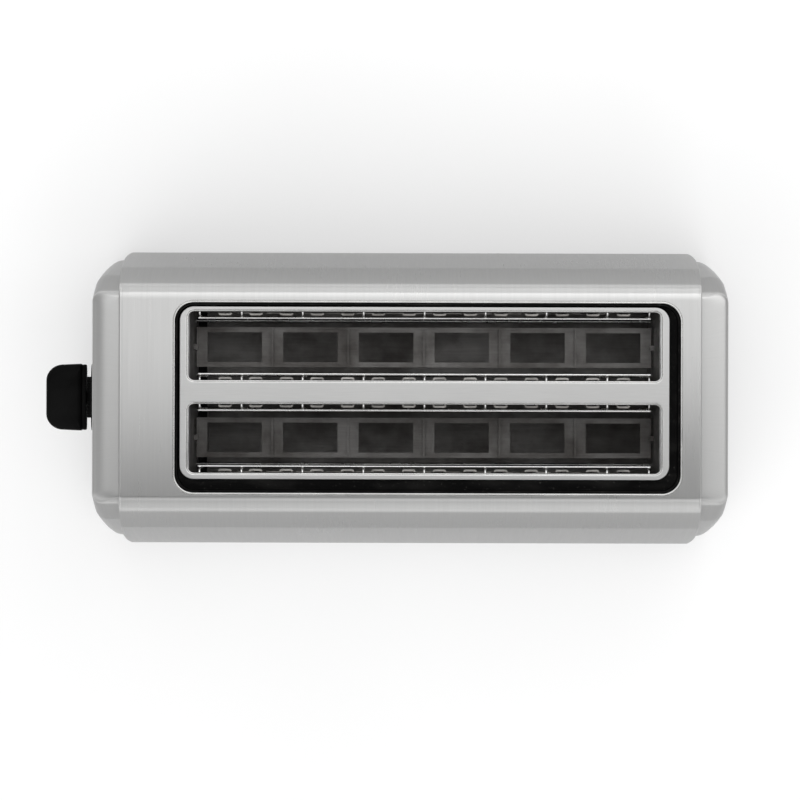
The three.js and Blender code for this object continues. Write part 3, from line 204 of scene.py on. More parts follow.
class StudioSizes(bpy.types.PropertyGroup):
    floor_radius: size("Floor radius", 14.0, "Radius of the pale floor")
    camera_height: size("Camera height", 3.4, "Camera above the top of the toaster")
    camera_x: size("Camera along", 0.0063, "Camera along the slots")
    camera_y: size("Camera across", -0.0012, "Camera across the slots")
    lens: bpy.props.FloatProperty(
        name="Lens", description="Focal length", default=260.0, min=10.0, max=600.0, unit="CAMERA"
    )
    roll: angle("Roll", 0.16, "Turn of the camera about its axis")


# Surfaces


def joined(*parts):
    """Coordinates side by side on a last axis, each spread over the shape of all."""
    return np.stack(np.broadcast_arrays(*parts), -1)


def raised(loop, z):
    """A flat loop of (x, y) at one height."""
    return joined(loop[..., 0], loop[..., 1], z)


def facing_left(loop, x):
    """A flat loop of (y, z) at one x."""
    return joined(x, loop[..., 0], loop[..., 1])


def facing(turn):
    """Unit vectors at angles from the first axis."""
    return joined(np.cos(turn), np.sin(turn))


def lengths(line):
    """Length along a line of points, from 0."""
    return np.concatenate([[0], np.cumsum(np.linalg.norm(np.diff(line, axis=0), axis=1))])


def closed(loop):
    """A loop with its first point repeated at the end, along the second last axis."""
    return np.concatenate([loop, loop[..., :1, :]], axis=-2)


def between(first, second, parts):
    """Rows on straight lines from one loop to another, or to one point."""
    part = np.asarray(parts, float)[:, None, None]
    return (1 - part) * first + part * second


def quarter(centre, radius, start, end, steps=5):
    """Points of an arc in a profile, from one angle to another in degrees."""
    turn = np.radians(np.linspace(start, end, steps + 1))
    return [(centre[0] + radius * math.cos(t), centre[1] + radius * math.sin(t)) for t in turn]


def outline(centre, half, radius, steps, corner_steps=8):
    """Rounded rectangle, anticlockwise from its right side: each corner is a quarter circle about the corner's
    centre, and each side is evenly divided. Gives points and outward normals, the first point not repeated."""
    radii = np.broadcast_to(radius, 4)
    signs = np.array([[1, 1], [-1, 1], [-1, -1], [1, -1]])
    middles = np.array(centre) + signs * (np.array(half) - radii[:, None])
    normals = facing((np.arange(4)[:, None] + np.linspace(0, 1, corner_steps + 1)) * np.pi / 2)
    corners = middles[:, None] + radii[:, None, None] * normals
    points, outward = [], []
    for k in range(4):
        part = np.linspace(0, 1, steps[k % 2] + 1)[1:-1, None]
        side = (1 - part) * corners[k, -1] + part * corners[(k + 1) % 4, 0]
        points += [corners[k], side]
        outward += [normals[k], np.broadcast_to(normals[k, -1], side.shape)]
    return np.concatenate(points), np.concatenate(outward)


def swept(points, outward, profile, place=raised):
    """Rows of an edge: each pair of the profile is how far a row lies outside the outline, and its level."""
    return np.stack([place(points + out * outward, level) for out, level in profile])


def half_section(sizes, top, hem=True):
    """Half of the housing's section as points (y, z), outward normals and length along it. The round edge is an arc
    about a centre under the end of the flat top; the shoulder is a shallow arc that leaves it without a corner and
    ends at the crease; a small arc rounds the crease; the lower wall is a shallow arc over its chord; the hem is a
    small arc turned in, then a flat. The shoulder turns by twice the bow b: its mean lean t meets
    (crease - centre) . (cos t, sin t) = radius * cos b."""

    def arc(start, radius, first, turn):
        """An arc through a point at which the surface faces the first angle."""
        return start + radius * (facing(turn) - facing(first))

    def turns(first, last, steps):
        return np.linspace(first, last, steps + 1)[1:]

    radius, bow = sizes.edge_radius, sizes.shoulder_bow
    centre = np.array([sizes.flat_half, top - radius])
    crease = np.array([sizes.flat_half + sizes.shoulder_spread, TOP - sizes.shoulder_drop])
    across, down = crease - centre
    lean = math.atan2(down, across) + math.acos(radius * math.cos(bow) / math.hypot(across, down))
    inward, fall = crease - (FOOT_HALF, FOOT + sizes.hem_radius)
    chord = math.hypot(inward, fall)
    wall_radius = chord**2 / (8 * sizes.wall_bow) + sizes.wall_bow / 2
    wall_half = math.asin(chord / (2 * wall_radius))
    wall_lean = math.atan2(-inward, fall)
    wall_high, wall_low = wall_lean + wall_half, wall_lean - wall_half
    tangent = sizes.crease_radius * math.tan((lean - bow - wall_high) / 2)

    edge_turn = np.linspace(np.pi / 2, lean + bow, 17)
    edge = centre + radius * facing(edge_turn)
    shoulder_radius = np.linalg.norm(crease - edge[-1]) / (2 * math.sin(bow))
    shoulder_turn = turns(lean + bow, lean - bow + tangent / shoulder_radius, 12)
    shoulder = arc(crease, shoulder_radius, lean - bow, shoulder_turn)
    crease_turn = turns(lean - bow, wall_high, 3)
    rounding = arc(shoulder[-1], sizes.crease_radius, lean - bow, crease_turn)
    wall_turn = turns(wall_high - tangent / wall_radius, wall_low, 22)
    wall = arc(crease, wall_radius, wall_high, wall_turn)
    points, faced = [edge, shoulder, rounding, wall], [edge_turn, shoulder_turn, crease_turn, wall_turn]
    if hem:
        hem_turn = turns(wall_low, -np.pi / 2, 5)
        rolled = arc(wall[-1], sizes.hem_radius, wall_low, hem_turn)
        flat = rolled[-1] - np.array([[0.5], [1.0]]) * (sizes.hem_width, 0)
        points += [rolled, flat]
        faced += [hem_turn, np.full(2, -np.pi / 2)]
    points = np.concatenate(points)
    return points, facing(np.concatenate(faced)), lengths(points)


class Shell:
    """Grids of points gathered into one mesh, with map coordinates in metres and a finish for each grid."""

    def __init__(self):
        self.points, self.maps, self.quads, self.finishes, self.count = [], [], [], [], 0

    def add(self, points, chart=None, finish=0, keep=None):
        """One grid, shaped (rows, columns, 3). Without a chart, u is the length along the first row and v the
        length down the first column."""
        points = np.asarray(points, float)
        rows, columns = points.shape[:2]
        if chart is None:
            chart = joined(*np.meshgrid(lengths(points[0]), lengths(points[:, 0])))
        index = self.count + np.arange(rows * columns).reshape(rows, columns)
        quads = joined(index[:-1, :-1], index[:-1, 1:], index[1:, 1:], index[1:, :-1])
        quads = quads[keep] if keep is not None else quads.reshape(-1, 4)
        self.points.append(points.reshape(-1, 3))
        self.maps.append(np.broadcast_to(chart, (rows, columns, 2)).reshape(-1, 2))
        self.quads.append(quads)
        self.finishes.append(np.full(len(quads), finish))
        self.count += rows * columns
        return self

    def tube(self, paths, radius, sides):
        """Round wires along paths, shaped (wires, points, 3): at each point a circle square to the path, turned from
        one fixed side direction, and a closed end made of circles of no radius."""
        line = np.concatenate([paths[:, :1], paths, paths[:, -1:]], axis=1)
        way = np.gradient(paths, axis=1)
        way = np.concatenate([way[:, :1], way, way[:, -1:]], axis=1)
        way /= np.linalg.norm(way, axis=2, keepdims=True)
        side = np.broadcast_to(np.array([0.31, 0.17, 0.93]), way.shape)
        side = np.where(np.abs((side * way).sum(2, keepdims=True)) > 0.9, np.array([0.95, 0.2, 0.1]), side)
        first = np.cross(way, side)
        first /= np.linalg.norm(first, axis=2, keepdims=True)
        second = np.cross(way, first)
        turn = np.linspace(0, 2 * np.pi, sides + 1)[:, None]
        reach = np.full((line.shape[1], 1, 1), radius)
        reach[[0, -1]] = 0
        circle = first[:, :, None] * np.cos(turn) + second[:, :, None] * np.sin(turn)
        for one in line[:, :, None] + circle * reach:
            self.add(one)
        return self

    def mesh(self, name, inside=None, sharp=35, middle=MIDDLE, loose=False):
        """Welds the grids and turns the faces outwards. Faces of an open sheet look away from the point inside, and
        loose flat grids, all wound the same way, are only turned together."""
        shift = np.array([middle, 0, 0])
        points, quads = np.concatenate(self.points) + shift, np.concatenate(self.quads)
        if not np.isfinite(points).all():
            raise ValueError(f"{name}: these sizes don't give a shape")
        mesh = bpy.data.meshes.new(name)
        mesh.from_pydata(points.tolist(), [], quads.tolist())
        chart = mesh.uv_layers.new(name="grain")
        chart.data.foreach_set("uv", np.concatenate(self.maps)[quads.ravel()].astype(np.float32).ravel())
        mesh.polygons.foreach_set("material_index", np.concatenate(self.finishes).astype(np.int32))
        work = bmesh.new()
        work.from_mesh(mesh)
        bmesh.ops.remove_doubles(work, verts=work.verts, dist=2e-6)
        bmesh.ops.dissolve_degenerate(work, edges=work.edges, dist=1e-7)
        if not loose:
            bmesh.ops.recalc_face_normals(work, faces=work.faces)
        work.to_mesh(mesh)
        work.free()
        if inside is not None:
            face_out(mesh, inside + shift)
        mesh.shade_smooth()
        mesh.set_sharp_from_angle(angle=math.radians(sharp))
        return mesh

    def make(self, name, body, finishes, inside=None, thickness=0.0, sharp=35, slot=None, replaces=(), loose=False):
        """The mesh as a piece. A thickness makes a sheet of it, inwards from its faces."""
        piece = settle(name, self.mesh(name, inside, sharp, loose=loose), body, finishes, replaces)
        if thickness:
            wall = piece.modifiers.new("Sheet", "SOLIDIFY")
            wall.thickness = thickness
            wall.offset = -1.0
            wall.use_even_offset = False


def face_out(mesh, inside):
    """Flips the whole mesh when its area, weighted by how far each face looks away from the inside, is negative."""
    count = len(mesh.polygons)
    centres, normals, areas = np.empty(count * 3), np.empty(count * 3), np.empty(count)
    mesh.polygons.foreach_get("center", centres)
    mesh.polygons.foreach_get("normal", normals)
    mesh.polygons.foreach_get("area", areas)
    away = ((centres.reshape(-1, 3) - inside) * normals.reshape(-1, 3)).sum(1) * areas
    if away.sum() < 0:
        mesh.flip_normals()


def placed(name, data):
    """A new object at the origin, in the scene."""
    thing = bpy.data.objects.new(name, data)
    bpy.context.scene.collection.objects.link(thing)
    return thing


def settle(name, mesh, body, finishes, replaces=()):
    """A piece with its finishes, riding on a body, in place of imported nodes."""
    for each in finishes:
        mesh.materials.append(finish(each))
    piece = placed(name, mesh)
    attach(piece, body)
    if replaces:
        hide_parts(*replaces)
    return piece


# Finishes


class Recipe:
    """Nodes of one material, or of the world."""

    def __init__(self, owner):
        owner.use_nodes = True
        self.owner, self.tree = owner, owner.node_tree
        self.shader = self.tree.nodes.get("Principled BSDF")
        self.charts = self.add("TexCoord").outputs

    def put(self, socket, value):
        """Links a socket, or writes a number, a vector or a colour."""
        if isinstance(value, bpy.types.NodeSocket):
            self.tree.links.new(value, socket)
        else:
            socket.default_value = (*value, 1.0) if socket.type == "RGBA" else value

    def add(self, kind, inputs=None, **settings):
        node = self.tree.nodes.new("ShaderNode" + kind)
        for key, value in settings.items():
            setattr(node, key, value)
        for key, value in (inputs or {}).items():
            self.put(node.inputs[key], value)
        return node

    def set(self, **values):
        """Values or sockets for the shader, with spaces of a socket's name written as underscores."""
        for key, value in values.items():
            self.put(self.shader.inputs[key.replace("_", " ")], value)

    def place(self, scale, location=(0, 0, 0), turn=(0, 0, 0), chart="Object"):
        scale = scale if isinstance(scale, tuple) else (scale,) * 3
        inputs = {"Vector": self.charts[chart], "Scale": scale, "Location": location, "Rotation": turn}
        return self.add("Mapping", inputs).outputs["Vector"]

    def noise(self, scale, detail=2.0, roughness=0.5, distortion=0.0, location=(0, 0, 0), chart="Object"):
        vector = self.place(scale, location, chart=chart)
        inputs = {"Vector": vector, "Scale": 1.0, "Detail": detail, "Roughness": roughness, "Distortion": distortion}
        return self.add("TexNoise", inputs).outputs["Fac"]

    def cells(self, scale, output):
        return self.add("TexVoronoi", {"Vector": self.place(scale), "Scale": 1.0}).outputs[output]

    def spread(self, value, low, high, start=0.0, end=1.0):
        """Maps a range of a value onto another, clamped."""
        inputs = {"Value": value, "From Min": low, "From Max": high, "To Min": start, "To Max": end}
        return self.add("MapRange", inputs).outputs["Result"]

    def sum(self, first, second, operation="ADD"):
        return self.add("Math", {0: first, 1: second}, operation=operation).outputs[0]

    def times(self, first, second):
        return self.sum(first, second, "MULTIPLY")

    def mix(self, factor, first, second):
        return self.add("Mix", {0: factor, 6: first, 7: second}, data_type="RGBA").outputs[2]

    def bump(self, height, strength, distance):
        return self.add("Bump", {"Height": height, "Strength": strength, "Distance": distance}).outputs["Normal"]


def shade(tint, share):
    """A colour, darker or lighter."""
    return tuple(min(1.0, c * share) for c in tint)


EDGE_ON = 0.30  # brightness of steel seen nearly edge on, as a share of a perfect mirror's


def brushed(r, tint, streaks, roughness=0.30, anisotropy=0.65):
    """Brushed steel: long thin streaks down the chart's v at three widths, in tone, roughness and a faint relief.
    The highlight is drawn out across the grain, along u."""
    fine = r.noise((2400, 26, 1), 3, 0.6, chart="UV")
    middle = r.noise((560, 12, 1), 3, 0.55, location=(3, 7, 0), chart="UV")
    broad = r.noise((120, 5, 1), 3, location=(11, 5, 0), chart="UV")
    lines = r.sum(r.sum(r.times(fine, 0.45), r.times(middle, 0.35)), r.times(broad, 0.2))
    tone = r.mix(r.spread(lines, 0.36, 0.64), shade(tint, 1 - 0.42 * streaks), shade(tint, 1 + 0.30 * streaks))
    rough = r.spread(lines, 0.35, 0.65, roughness + 0.025, roughness - 0.025)
    rough = r.sum(rough, r.spread(r.noise(9), 0.3, 0.7, -0.02, 0.02))
    relief = r.sum(r.times(fine, 0.6), r.times(middle, 0.4))
    tangent = r.add("Tangent", direction_type="UV_MAP", uv_map="grain").outputs["Tangent"]
    r.set(Base_Color=tone, Metallic=1.0, Roughness=rough, Anisotropic=anisotropy, Tangent=tangent)
    r.set(Specular_Tint=(EDGE_ON,) * 3, Coat_Weight=0.5, Coat_Roughness=0.22, Normal=r.bump(relief, 0.08, 0.00006))


def polished(r, tint, roughness):
    """Rolled edge of the sheet, rubbed bright, with faint nicks."""
    cloud = r.noise(60)
    r.set(Base_Color=r.mix(r.spread(cloud, 0.35, 0.65), shade(tint, 0.9), tint), Metallic=1.0)
    r.set(Roughness=r.spread(cloud, 0.3, 0.7, roughness, roughness + 0.08), Normal=r.bump(r.noise(900), 0.02, 0.00005))


def satin(r, tint, roughness):
    """Satin steel: fine crossing grain with soft clouds."""
    along = r.noise((60, 2600, 400), 3)
    rough = r.spread(along, 0.3, 0.7, roughness + 0.02, roughness - 0.02)
    rough = r.sum(rough, r.spread(r.noise((16, 22, 20), 3), 0.3, 0.7, -0.03, 0.04))
    r.set(Base_Color=r.mix(r.spread(along, 0.35, 0.65), shade(tint, 0.97), shade(tint, 1.02)), Metallic=1.0)
    r.set(Roughness=rough, Normal=r.bump(r.noise(1500), 0.06, 0.00005))


def moulded(r, tint, roughness=0.45, grain=1800, depth=0.00004, gloss=0.25, dust=0.0):
    """Moulded plastic: fine grain, faint flow marks, and dust on faces that look up."""
    flow = r.noise((35, 60, 60), 3, distortion=0.6)
    tone = r.mix(r.spread(flow, 0.35, 0.65), shade(tint, 0.8), shade(tint, 1.25))
    if dust:
        up = r.add("SeparateXYZ", {0: r.add("NewGeometry").outputs["Normal"]}).outputs["Z"]
        specks = r.spread(r.noise(520, 3, 0.7, location=(2, 3, 4)), 0.62, 0.74)
        film = r.spread(r.noise((30, 90, 60), 3, location=(5, 1, 2)), 0.5, 0.8, 0.0, 0.35)
        amount = r.times(r.sum(specks, film), r.spread(up, 0.3, 0.9))
        tone = r.mix(r.times(amount, dust), tone, (0.30, 0.29, 0.27))
    r.set(Base_Color=tone, Roughness=r.spread(flow, 0.3, 0.7, roughness - 0.04, roughness + 0.06))
    r.set(Specular_IOR_Level=gloss, Normal=r.bump(r.noise(grain), 0.25, depth))


def sheet_metal(r, tint, roughness, crumple=0.0, soot=0.0):
    """Plain rolled or aluminised steel: rolling lines, spangle, crumpled shine, and soot in patches."""
    rolled = r.noise((40, 900, 900), 3)
    stain = r.noise(26, 5, 0.65, location=(4, 0, 9))
    tone = r.mix(r.spread(rolled, 0.3, 0.7), shade(tint, 0.86), tint)
    tone = r.mix(r.spread(r.cells(160, "Distance"), 0.2, 0.9, 0.0, 0.18), tone, shade(tint, 0.7))
    if soot:
        tone = r.mix(r.spread(stain, 0.40, 0.72, 0.0, soot), tone, (0.045, 0.035, 0.028))
    rough = r.spread(stain, 0.3, 0.7, roughness - 0.06, roughness + 0.14)
    height = r.sum(r.times(r.noise((120, 120, 60), 4, distortion=0.8), crumple), r.times(rolled, 0.06))
    r.set(Base_Color=tone, Metallic=1.0, Roughness=rough, Normal=r.bump(height, 0.5, 0.0015))


def mica_board(r, tint):
    """Mica board: layered flakes in satin grey brown, darker in clouds where the ribbon has scorched it."""
    flake = r.add("SeparateColor", {0: r.cells((220, 220, 170), "Color")}).outputs[0]
    scorch = r.spread(r.noise((30, 30, 24), 4), 0.4, 0.7, 0.0, 0.6)
    tone = r.mix(scorch, r.mix(flake, shade(tint, 0.75), shade(tint, 1.15)), shade(tint, 0.45))
    r.set(Base_Color=tone, Roughness=r.spread(flake, 0, 1, 0.38, 0.6), Specular_IOR_Level=0.6)
    r.set(Normal=r.bump(flake, 0.12, 0.0002))


def oxidised(r, tint):
    """Resistance ribbon: dull grey oxide with a warm cast."""
    cloud = r.noise((70, 70, 50), 4)
    r.set(Base_Color=r.mix(r.spread(cloud, 0.35, 0.65), tint, shade(tint, 0.55)), Metallic=0.9)
    r.set(Roughness=r.spread(cloud, 0.3, 0.7, 0.34, 0.55), Normal=r.bump(r.noise(900), 0.15, 0.0001))


def windings(r, tint):
    """Coil wound of enamelled wire: fine turns round the upright axis."""
    inputs = {"Vector": r.place(1), "Scale": 700.0, "Distortion": 0.4}
    turns = r.add("TexWave", inputs, bands_direction="Z").outputs["Fac"]
    r.set(Base_Color=r.mix(turns, shade(tint, 0.4), tint), Metallic=0.85, Roughness=0.32)
    r.set(Normal=r.bump(turns, 0.6, 0.0003))


def laminate(r, tint):
    """Circuit board: solder mask over faint tracks."""
    inputs = {"Vector": r.place((1, 90, 90), turn=(0, math.pi / 2, 0)), "Scale": 1.0, "Mortar Size": 0.06}
    tracks = r.add("TexBrick", inputs).outputs["Fac"]
    r.set(Base_Color=r.mix(tracks, tint, shade(tint, 1.7)), Roughness=r.spread(tracks, 0, 1, 0.35, 0.5))
    r.set(Normal=r.bump(tracks, 0.2, 0.0002))


def rubber(r, tint):
    """Matt rubber with a fine grain and scuffed, paler patches."""
    scuff = r.noise(180, 4)
    r.set(Base_Color=r.mix(r.spread(scuff, 0.5, 0.75, 0.0, 0.5), tint, shade(tint, 3)), Specular_IOR_Level=0.3)
    r.set(Roughness=r.spread(scuff, 0.3, 0.7, 0.72, 0.9), Normal=r.bump(r.noise(1400), 0.35, 0.0002))


def printed(r, tint):
    """Pad-printed ink, thinner in places."""
    ink = r.noise(800, 3)
    r.set(Base_Color=r.mix(r.spread(ink, 0.3, 0.7), shade(tint, 0.8), tint), Roughness=0.5)
    r.set(Normal=r.bump(ink, 0.1, 0.00002))


def finish(slot):
    """The finish of a slot of the record, made when it is first asked for."""
    name = slot + "_finish"
    if name in bpy.data.materials:
        return bpy.data.materials[name]
    c = bpy.context.scene.toaster_colours
    kinds = {
        "wrap_steel": (brushed, c.steel, {"streaks": c.streaks}),
        "cap_steel": (brushed, c.cap_steel, {"streaks": 0.8 * c.streaks, "roughness": 0.32, "anisotropy": 0.6}),
        "edge_steel": (polished, (0.74, 0.74, 0.73), {"roughness": 0.2}),
        "plate_steel": (satin, c.plate, {"roughness": 0.36}),
        "chassis_steel": (sheet_metal, (0.50, 0.50, 0.50), {"roughness": 0.3, "crumple": 1.0, "soot": 0.3}),
        # rack and tray steel: the very dark tint is partly painted shade for the deep slots, and the soot patches are
        # real soot
        "rack_steel": (sheet_metal, (0.20, 0.195, 0.19), {"roughness": 0.36, "crumple": 0.05, "soot": 0.6}),
        "tray_steel": (sheet_metal, (0.20, 0.195, 0.19), {"roughness": 0.42, "crumple": 0.05, "soot": 0.5}),
        "wire_steel": (polished, (0.92, 0.92, 0.91), {"roughness": 0.22}),
        "screw_steel": (sheet_metal, (0.6, 0.6, 0.6), {"roughness": 0.35}),
        "trim_black": (moulded, shade(c.black, 0.6), {"roughness": 0.55, "gloss": 0.05, "dust": 0.12}),
        "panel_black": (moulded, c.black, {"roughness": 0.3, "grain": 900, "depth": 0.00001, "gloss": 0.2}),
        "knob_black": (moulded, c.black, {"roughness": 0.42, "gloss": 0.02}),
        "base_black": (moulded, shade(c.black, 1.6), {"roughness": 0.55, "gloss": 0.3}),
        "rubber_black": (rubber, (0.02, 0.02, 0.02), {}),
        "mica": (mica_board, (0.24, 0.22, 0.20), {}),
        "ribbon": (oxidised, (0.72, 0.70, 0.67), {}),
        "bushing_cream": (moulded, (0.72, 0.69, 0.6), {"gloss": 0.4}),
        "laminate_green": (laminate, (0.05, 0.16, 0.08), {}),
        "coil_copper": (windings, (0.54, 0.24, 0.12), {}),
        "print_white": (printed, c.print_white, {}),
    }
    kind, tint, settings = kinds[slot]
    recipe = Recipe(bpy.data.materials.new(name))
    kind(recipe, tuple(tint), **settings)
    return recipe.owner


# Operators, one for each piece or group of like pieces


class DressNodes(bpy.types.Operator):
    """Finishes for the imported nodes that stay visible"""

    bl_idname = "toaster.dress_nodes"
    bl_label = "Finishes"

    def execute(self, context):
        slots = {part["node"]: part["material_slot"] for part in frame["record"]["subparts"]}
        for name, piece in frame["nodes"].items():
            slot = slots[name]
            # inner racks and bracket take the dark rack steel, whose tint is partly painted shade of the deep slots
            if name.startswith(("bread_rack", "carriage_bracket")):
                slot = "rack_steel"
            if name == "lever_arm":
                slot = "knob_black"
            piece.data.materials.clear()
            piece.data.materials.append(finish(slot))
        return {"FINISHED"}


class MakeWrap(bpy.types.Operator):
    """Bent wrap with rolled ends, hems and a bead round the opening"""

    bl_idname = "toaster.make_wrap"
    bl_label = "Wrap"
    steps = (72, 28)  # of the flat top, along the slots and across them

    def execute(self, context):
        s = context.scene.toaster_housing
        level = TOP - s.bead_height
        ring = s.seam_roll * 2.8
        end = SEAM - ring
        shell = Shell()
        points, _, along = half_section(s, level)
        for side in (1, -1):
            x, y = np.meshgrid(np.linspace(-end, end, self.steps[0] + 1), side * points[:, 0])
            x = x + self.flare(s, x, points[:, 1:])
            shell.add(joined(x, y, points[:, 1:]), joined(x, side * (s.flat_half + along[:, None])))
        self.add_deck(shell, s, level, end)
        self.add_rolls(shell, s, level, ring)
        shell.make(
            "wrap", "housing", ("wrap_steel", "edge_steel"), (0, 0, 0.1), s.sheet, 50, replaces=("wrap_shell",)
        )
        return {"FINISHED"}

    def flare(self, s, x, z):
        """How far the ends bow outwards: from the top down the bow grows fast, and falls again in an arc near the
        foot. It grows towards each end as x cubed."""
        part = np.clip((TOP - s.bead_height - z) / (TOP - FOOT), 0, 1)
        return s.seam_flare * (1.6 * part - 1.5 * part**5) * (x / SEAM) ** 3

    def add_deck(self, shell, s, level, end):
        """Flat top round the opening, and the opening's bead: a half round lip that turns over and goes down."""
        corner_steps = 14
        edge, _ = outline((0, 0), (end, s.flat_half), 0, self.steps, corner_steps)
        lip, out = outline(TRIM.middle[:2], TRIM.half[:2] + FIT, s.opening_corner, self.steps, corner_steps)
        w, h = s.bead_width, s.bead_height
        parts = (0, 0.04, 0.12, 0.3, 0.5, 0.7, 0.88, 0.96, 1)
        rows = closed(between(raised(edge, level), raised(lip + out * w, level), parts))
        shell.add(rows, rows[..., :2])
        bead = 0.36 * w
        profile = [(a * w, level - b * h) for a, b in ((1, 0), (0.97, 0.3), (0.9, 0.8), (0.82, 0.8), (0.76, 0.2))]
        profile += quarter((bead, TOP - bead), bead, 50, 180, 9)
        profile += [(0, TOP - part * s.lip_depth) for part in (0.35, 0.7, 1)]
        shell.add(closed(swept(lip, out, profile)), finish=1)

    def add_rolls(self, shell, s, level, ring):
        """Rolled ends along the whole section: a shallow groove, then a quarter circle down, then straight to the
        cap. The profile holds the distance from the seam and the depth below the surface."""
        r, g = s.seam_roll, s.seam_groove
        profile = [(-ring, 0), (-2.3 * r, 0.25 * g), (-2.0 * r, g), (-1.7 * r, g), (-1.4 * r, 0.25 * g), (-1.15 * r, 0)]
        profile += [(x, -depth) for x, depth in quarter((-r, -r), r, 90, 0, 6)]
        profile += [(0, 0.6 * s.cap_step), (0, s.cap_step - 0.0002)]
        profile = np.array(profile)
        points, normals, along = half_section(s, level, hem=False)
        across = np.linspace(-s.flat_half, s.flat_half, self.steps[1] + 1)[1:-1]
        mirror = (-1, 1)
        path = np.concatenate([points[::-1] * mirror, joined(across, level), points])
        outward = np.concatenate([normals[::-1] * mirror, joined(0 * across, 1.0), normals])
        v = np.concatenate([-s.flat_half - along[::-1], across, s.flat_half + along])
        sunk = path - outward * profile[:, 1:, None]
        for side in (1, -1):
            x = side * (SEAM + profile[:, :1]) + 0 * v
            u = side * (SEAM - ring + lengths(profile))
            shell.add(facing_left(sunk, x + self.flare(s, x, path[:, 1])), joined(u[:, None], v))


class MakeCaps(bpy.types.Operator):
    """End caps, drawn in at their upper edge and rounded at their upright corners"""

    bl_idname = "toaster.make_caps"
    bl_label = "End caps"

    def execute(self, context):
        for side, name in ((-1, "left_end_cap"), (1, "right_end_cap")):
            self.make_cap(context.scene.toaster_housing, side, name)
        return {"FINISHED"}

    def make_cap(self, s, side, name):
        """Rows go down the section, each from one side round the end to the other. The end is drawn in near the top
        by an ellipse, and the upright corners are ellipses that grow evenly towards the foot."""
        points, normals, along = half_section(s, TOP, hem=False)
        body = points - normals * s.cap_step
        width, height = body[:, :1], body[:, 1:]
        back = SEAM - s.cap_tuck
        rise = np.clip((height - TOP + s.cap_step) / s.cap_edge_down + 1, 0, 1)
        stop = END - s.cap_edge_along * (1 - np.sqrt(1 - rise**2))
        along_y = s.cap_corner_low + (s.cap_corner_high - s.cap_corner_low) * (height - FOOT) / (TOP - FOOT)
        along_x = along_y * (stop - back) / (END - back)
        part = np.array([0, 0.3, 0.55, 0.75, 0.9, 0.98, 1])
        turn = np.radians(np.linspace(90, 0, 17))
        side_x, side_y = np.broadcast_arrays(back + part * (stop - along_x - back), width)
        corner_x, corner_y = stop - along_x * (1 - np.cos(turn)), width - along_y * (1 - np.sin(turn))
        face_x, face_y = np.broadcast_arrays(stop, (width - along_y) * np.linspace(1, -1, 49)[1:-1])
        x = np.concatenate([side_x[:, :-1], corner_x, face_x, corner_x[:, ::-1], side_x[:, -2::-1]], 1)
        y = np.concatenate([side_y[:, :-1], corner_y, face_y, -corner_y[:, ::-1], -side_y[:, -2::-1]], 1)
        grid = joined(side * x, y, height)
        u = lengths(grid[-1])
        keep = None
        if side < 0:
            middle = (grid[:-1, :-1] + grid[1:, 1:]) / 2
            covered = (0.004, 0.015, PANEL.half[2] - 0.008)  # a hole that the control panel hides
            keep = ~(np.abs(middle - (-END, 0, PANEL.middle[2])) < covered).all(-1)
        shell = Shell().add(grid, joined(u, along[:, None]), keep=keep)
        ends = len(part) - 1
        rim = grid[0, ends:-ends]
        top = between(rim, rim * (0, 1, 1) + (side * back, 0, 0), (0, 0.02, 0.2, 0.5, 0.8, 1))
        shell.add(top, joined(u[ends:-ends], -np.abs(top[..., 0] - rim[:, 0])))
        inside = (side * (SEAM - 0.02), 0, 0.1)
        shell.make(name + "_skin", "housing", ("cap_steel",), inside, s.sheet, 50, replaces=(name,))


class MakeTrim(bpy.types.Operator):
    """Black channel between the wrap's lip and the slot plate"""

    bl_idname = "toaster.make_trim"
    bl_label = "Trim"

    def execute(self, context):
        s = context.scene.toaster_slots
        corner = context.scene.toaster_housing.opening_corner - FIT
        steps, corner_steps = (30, 12), 12
        low, high = TRIM.low[2], TRIM.high[2]
        top = low + s.trim_floor
        edge, out = outline(TRIM.middle[:2], TRIM.half[:2], corner, steps, corner_steps)
        ledge = s.trim_ledge
        hole, _ = outline(PLATE.middle[:2], PLATE.half[:2] - ledge, s.plate_corner - ledge, steps, corner_steps)
        w, r, cove = s.trim_wall, s.trim_wall / 2, s.trim_cove
        profile = [(0, low), (0, top), (0, high - r), *quarter((-r, high - r), r, 0, 180, 8), (-w, top + 1.2 * cove)]
        profile += quarter((-w - cove, top + cove), cove, 0, -90, 4)
        floor = between(raised(edge - out * (w + cove), top), raised(hole, top), (0.1, 0.5, 0.95, 1))
        under = np.stack([raised(hole, low), raised(edge, low)])
        shell = Shell().add(closed(np.concatenate([swept(edge, out, profile), floor, under])))
        shell.make("trim", "housing", ("trim_black",), sharp=40, replaces=("slot_trim",))
        return {"FINISHED"}


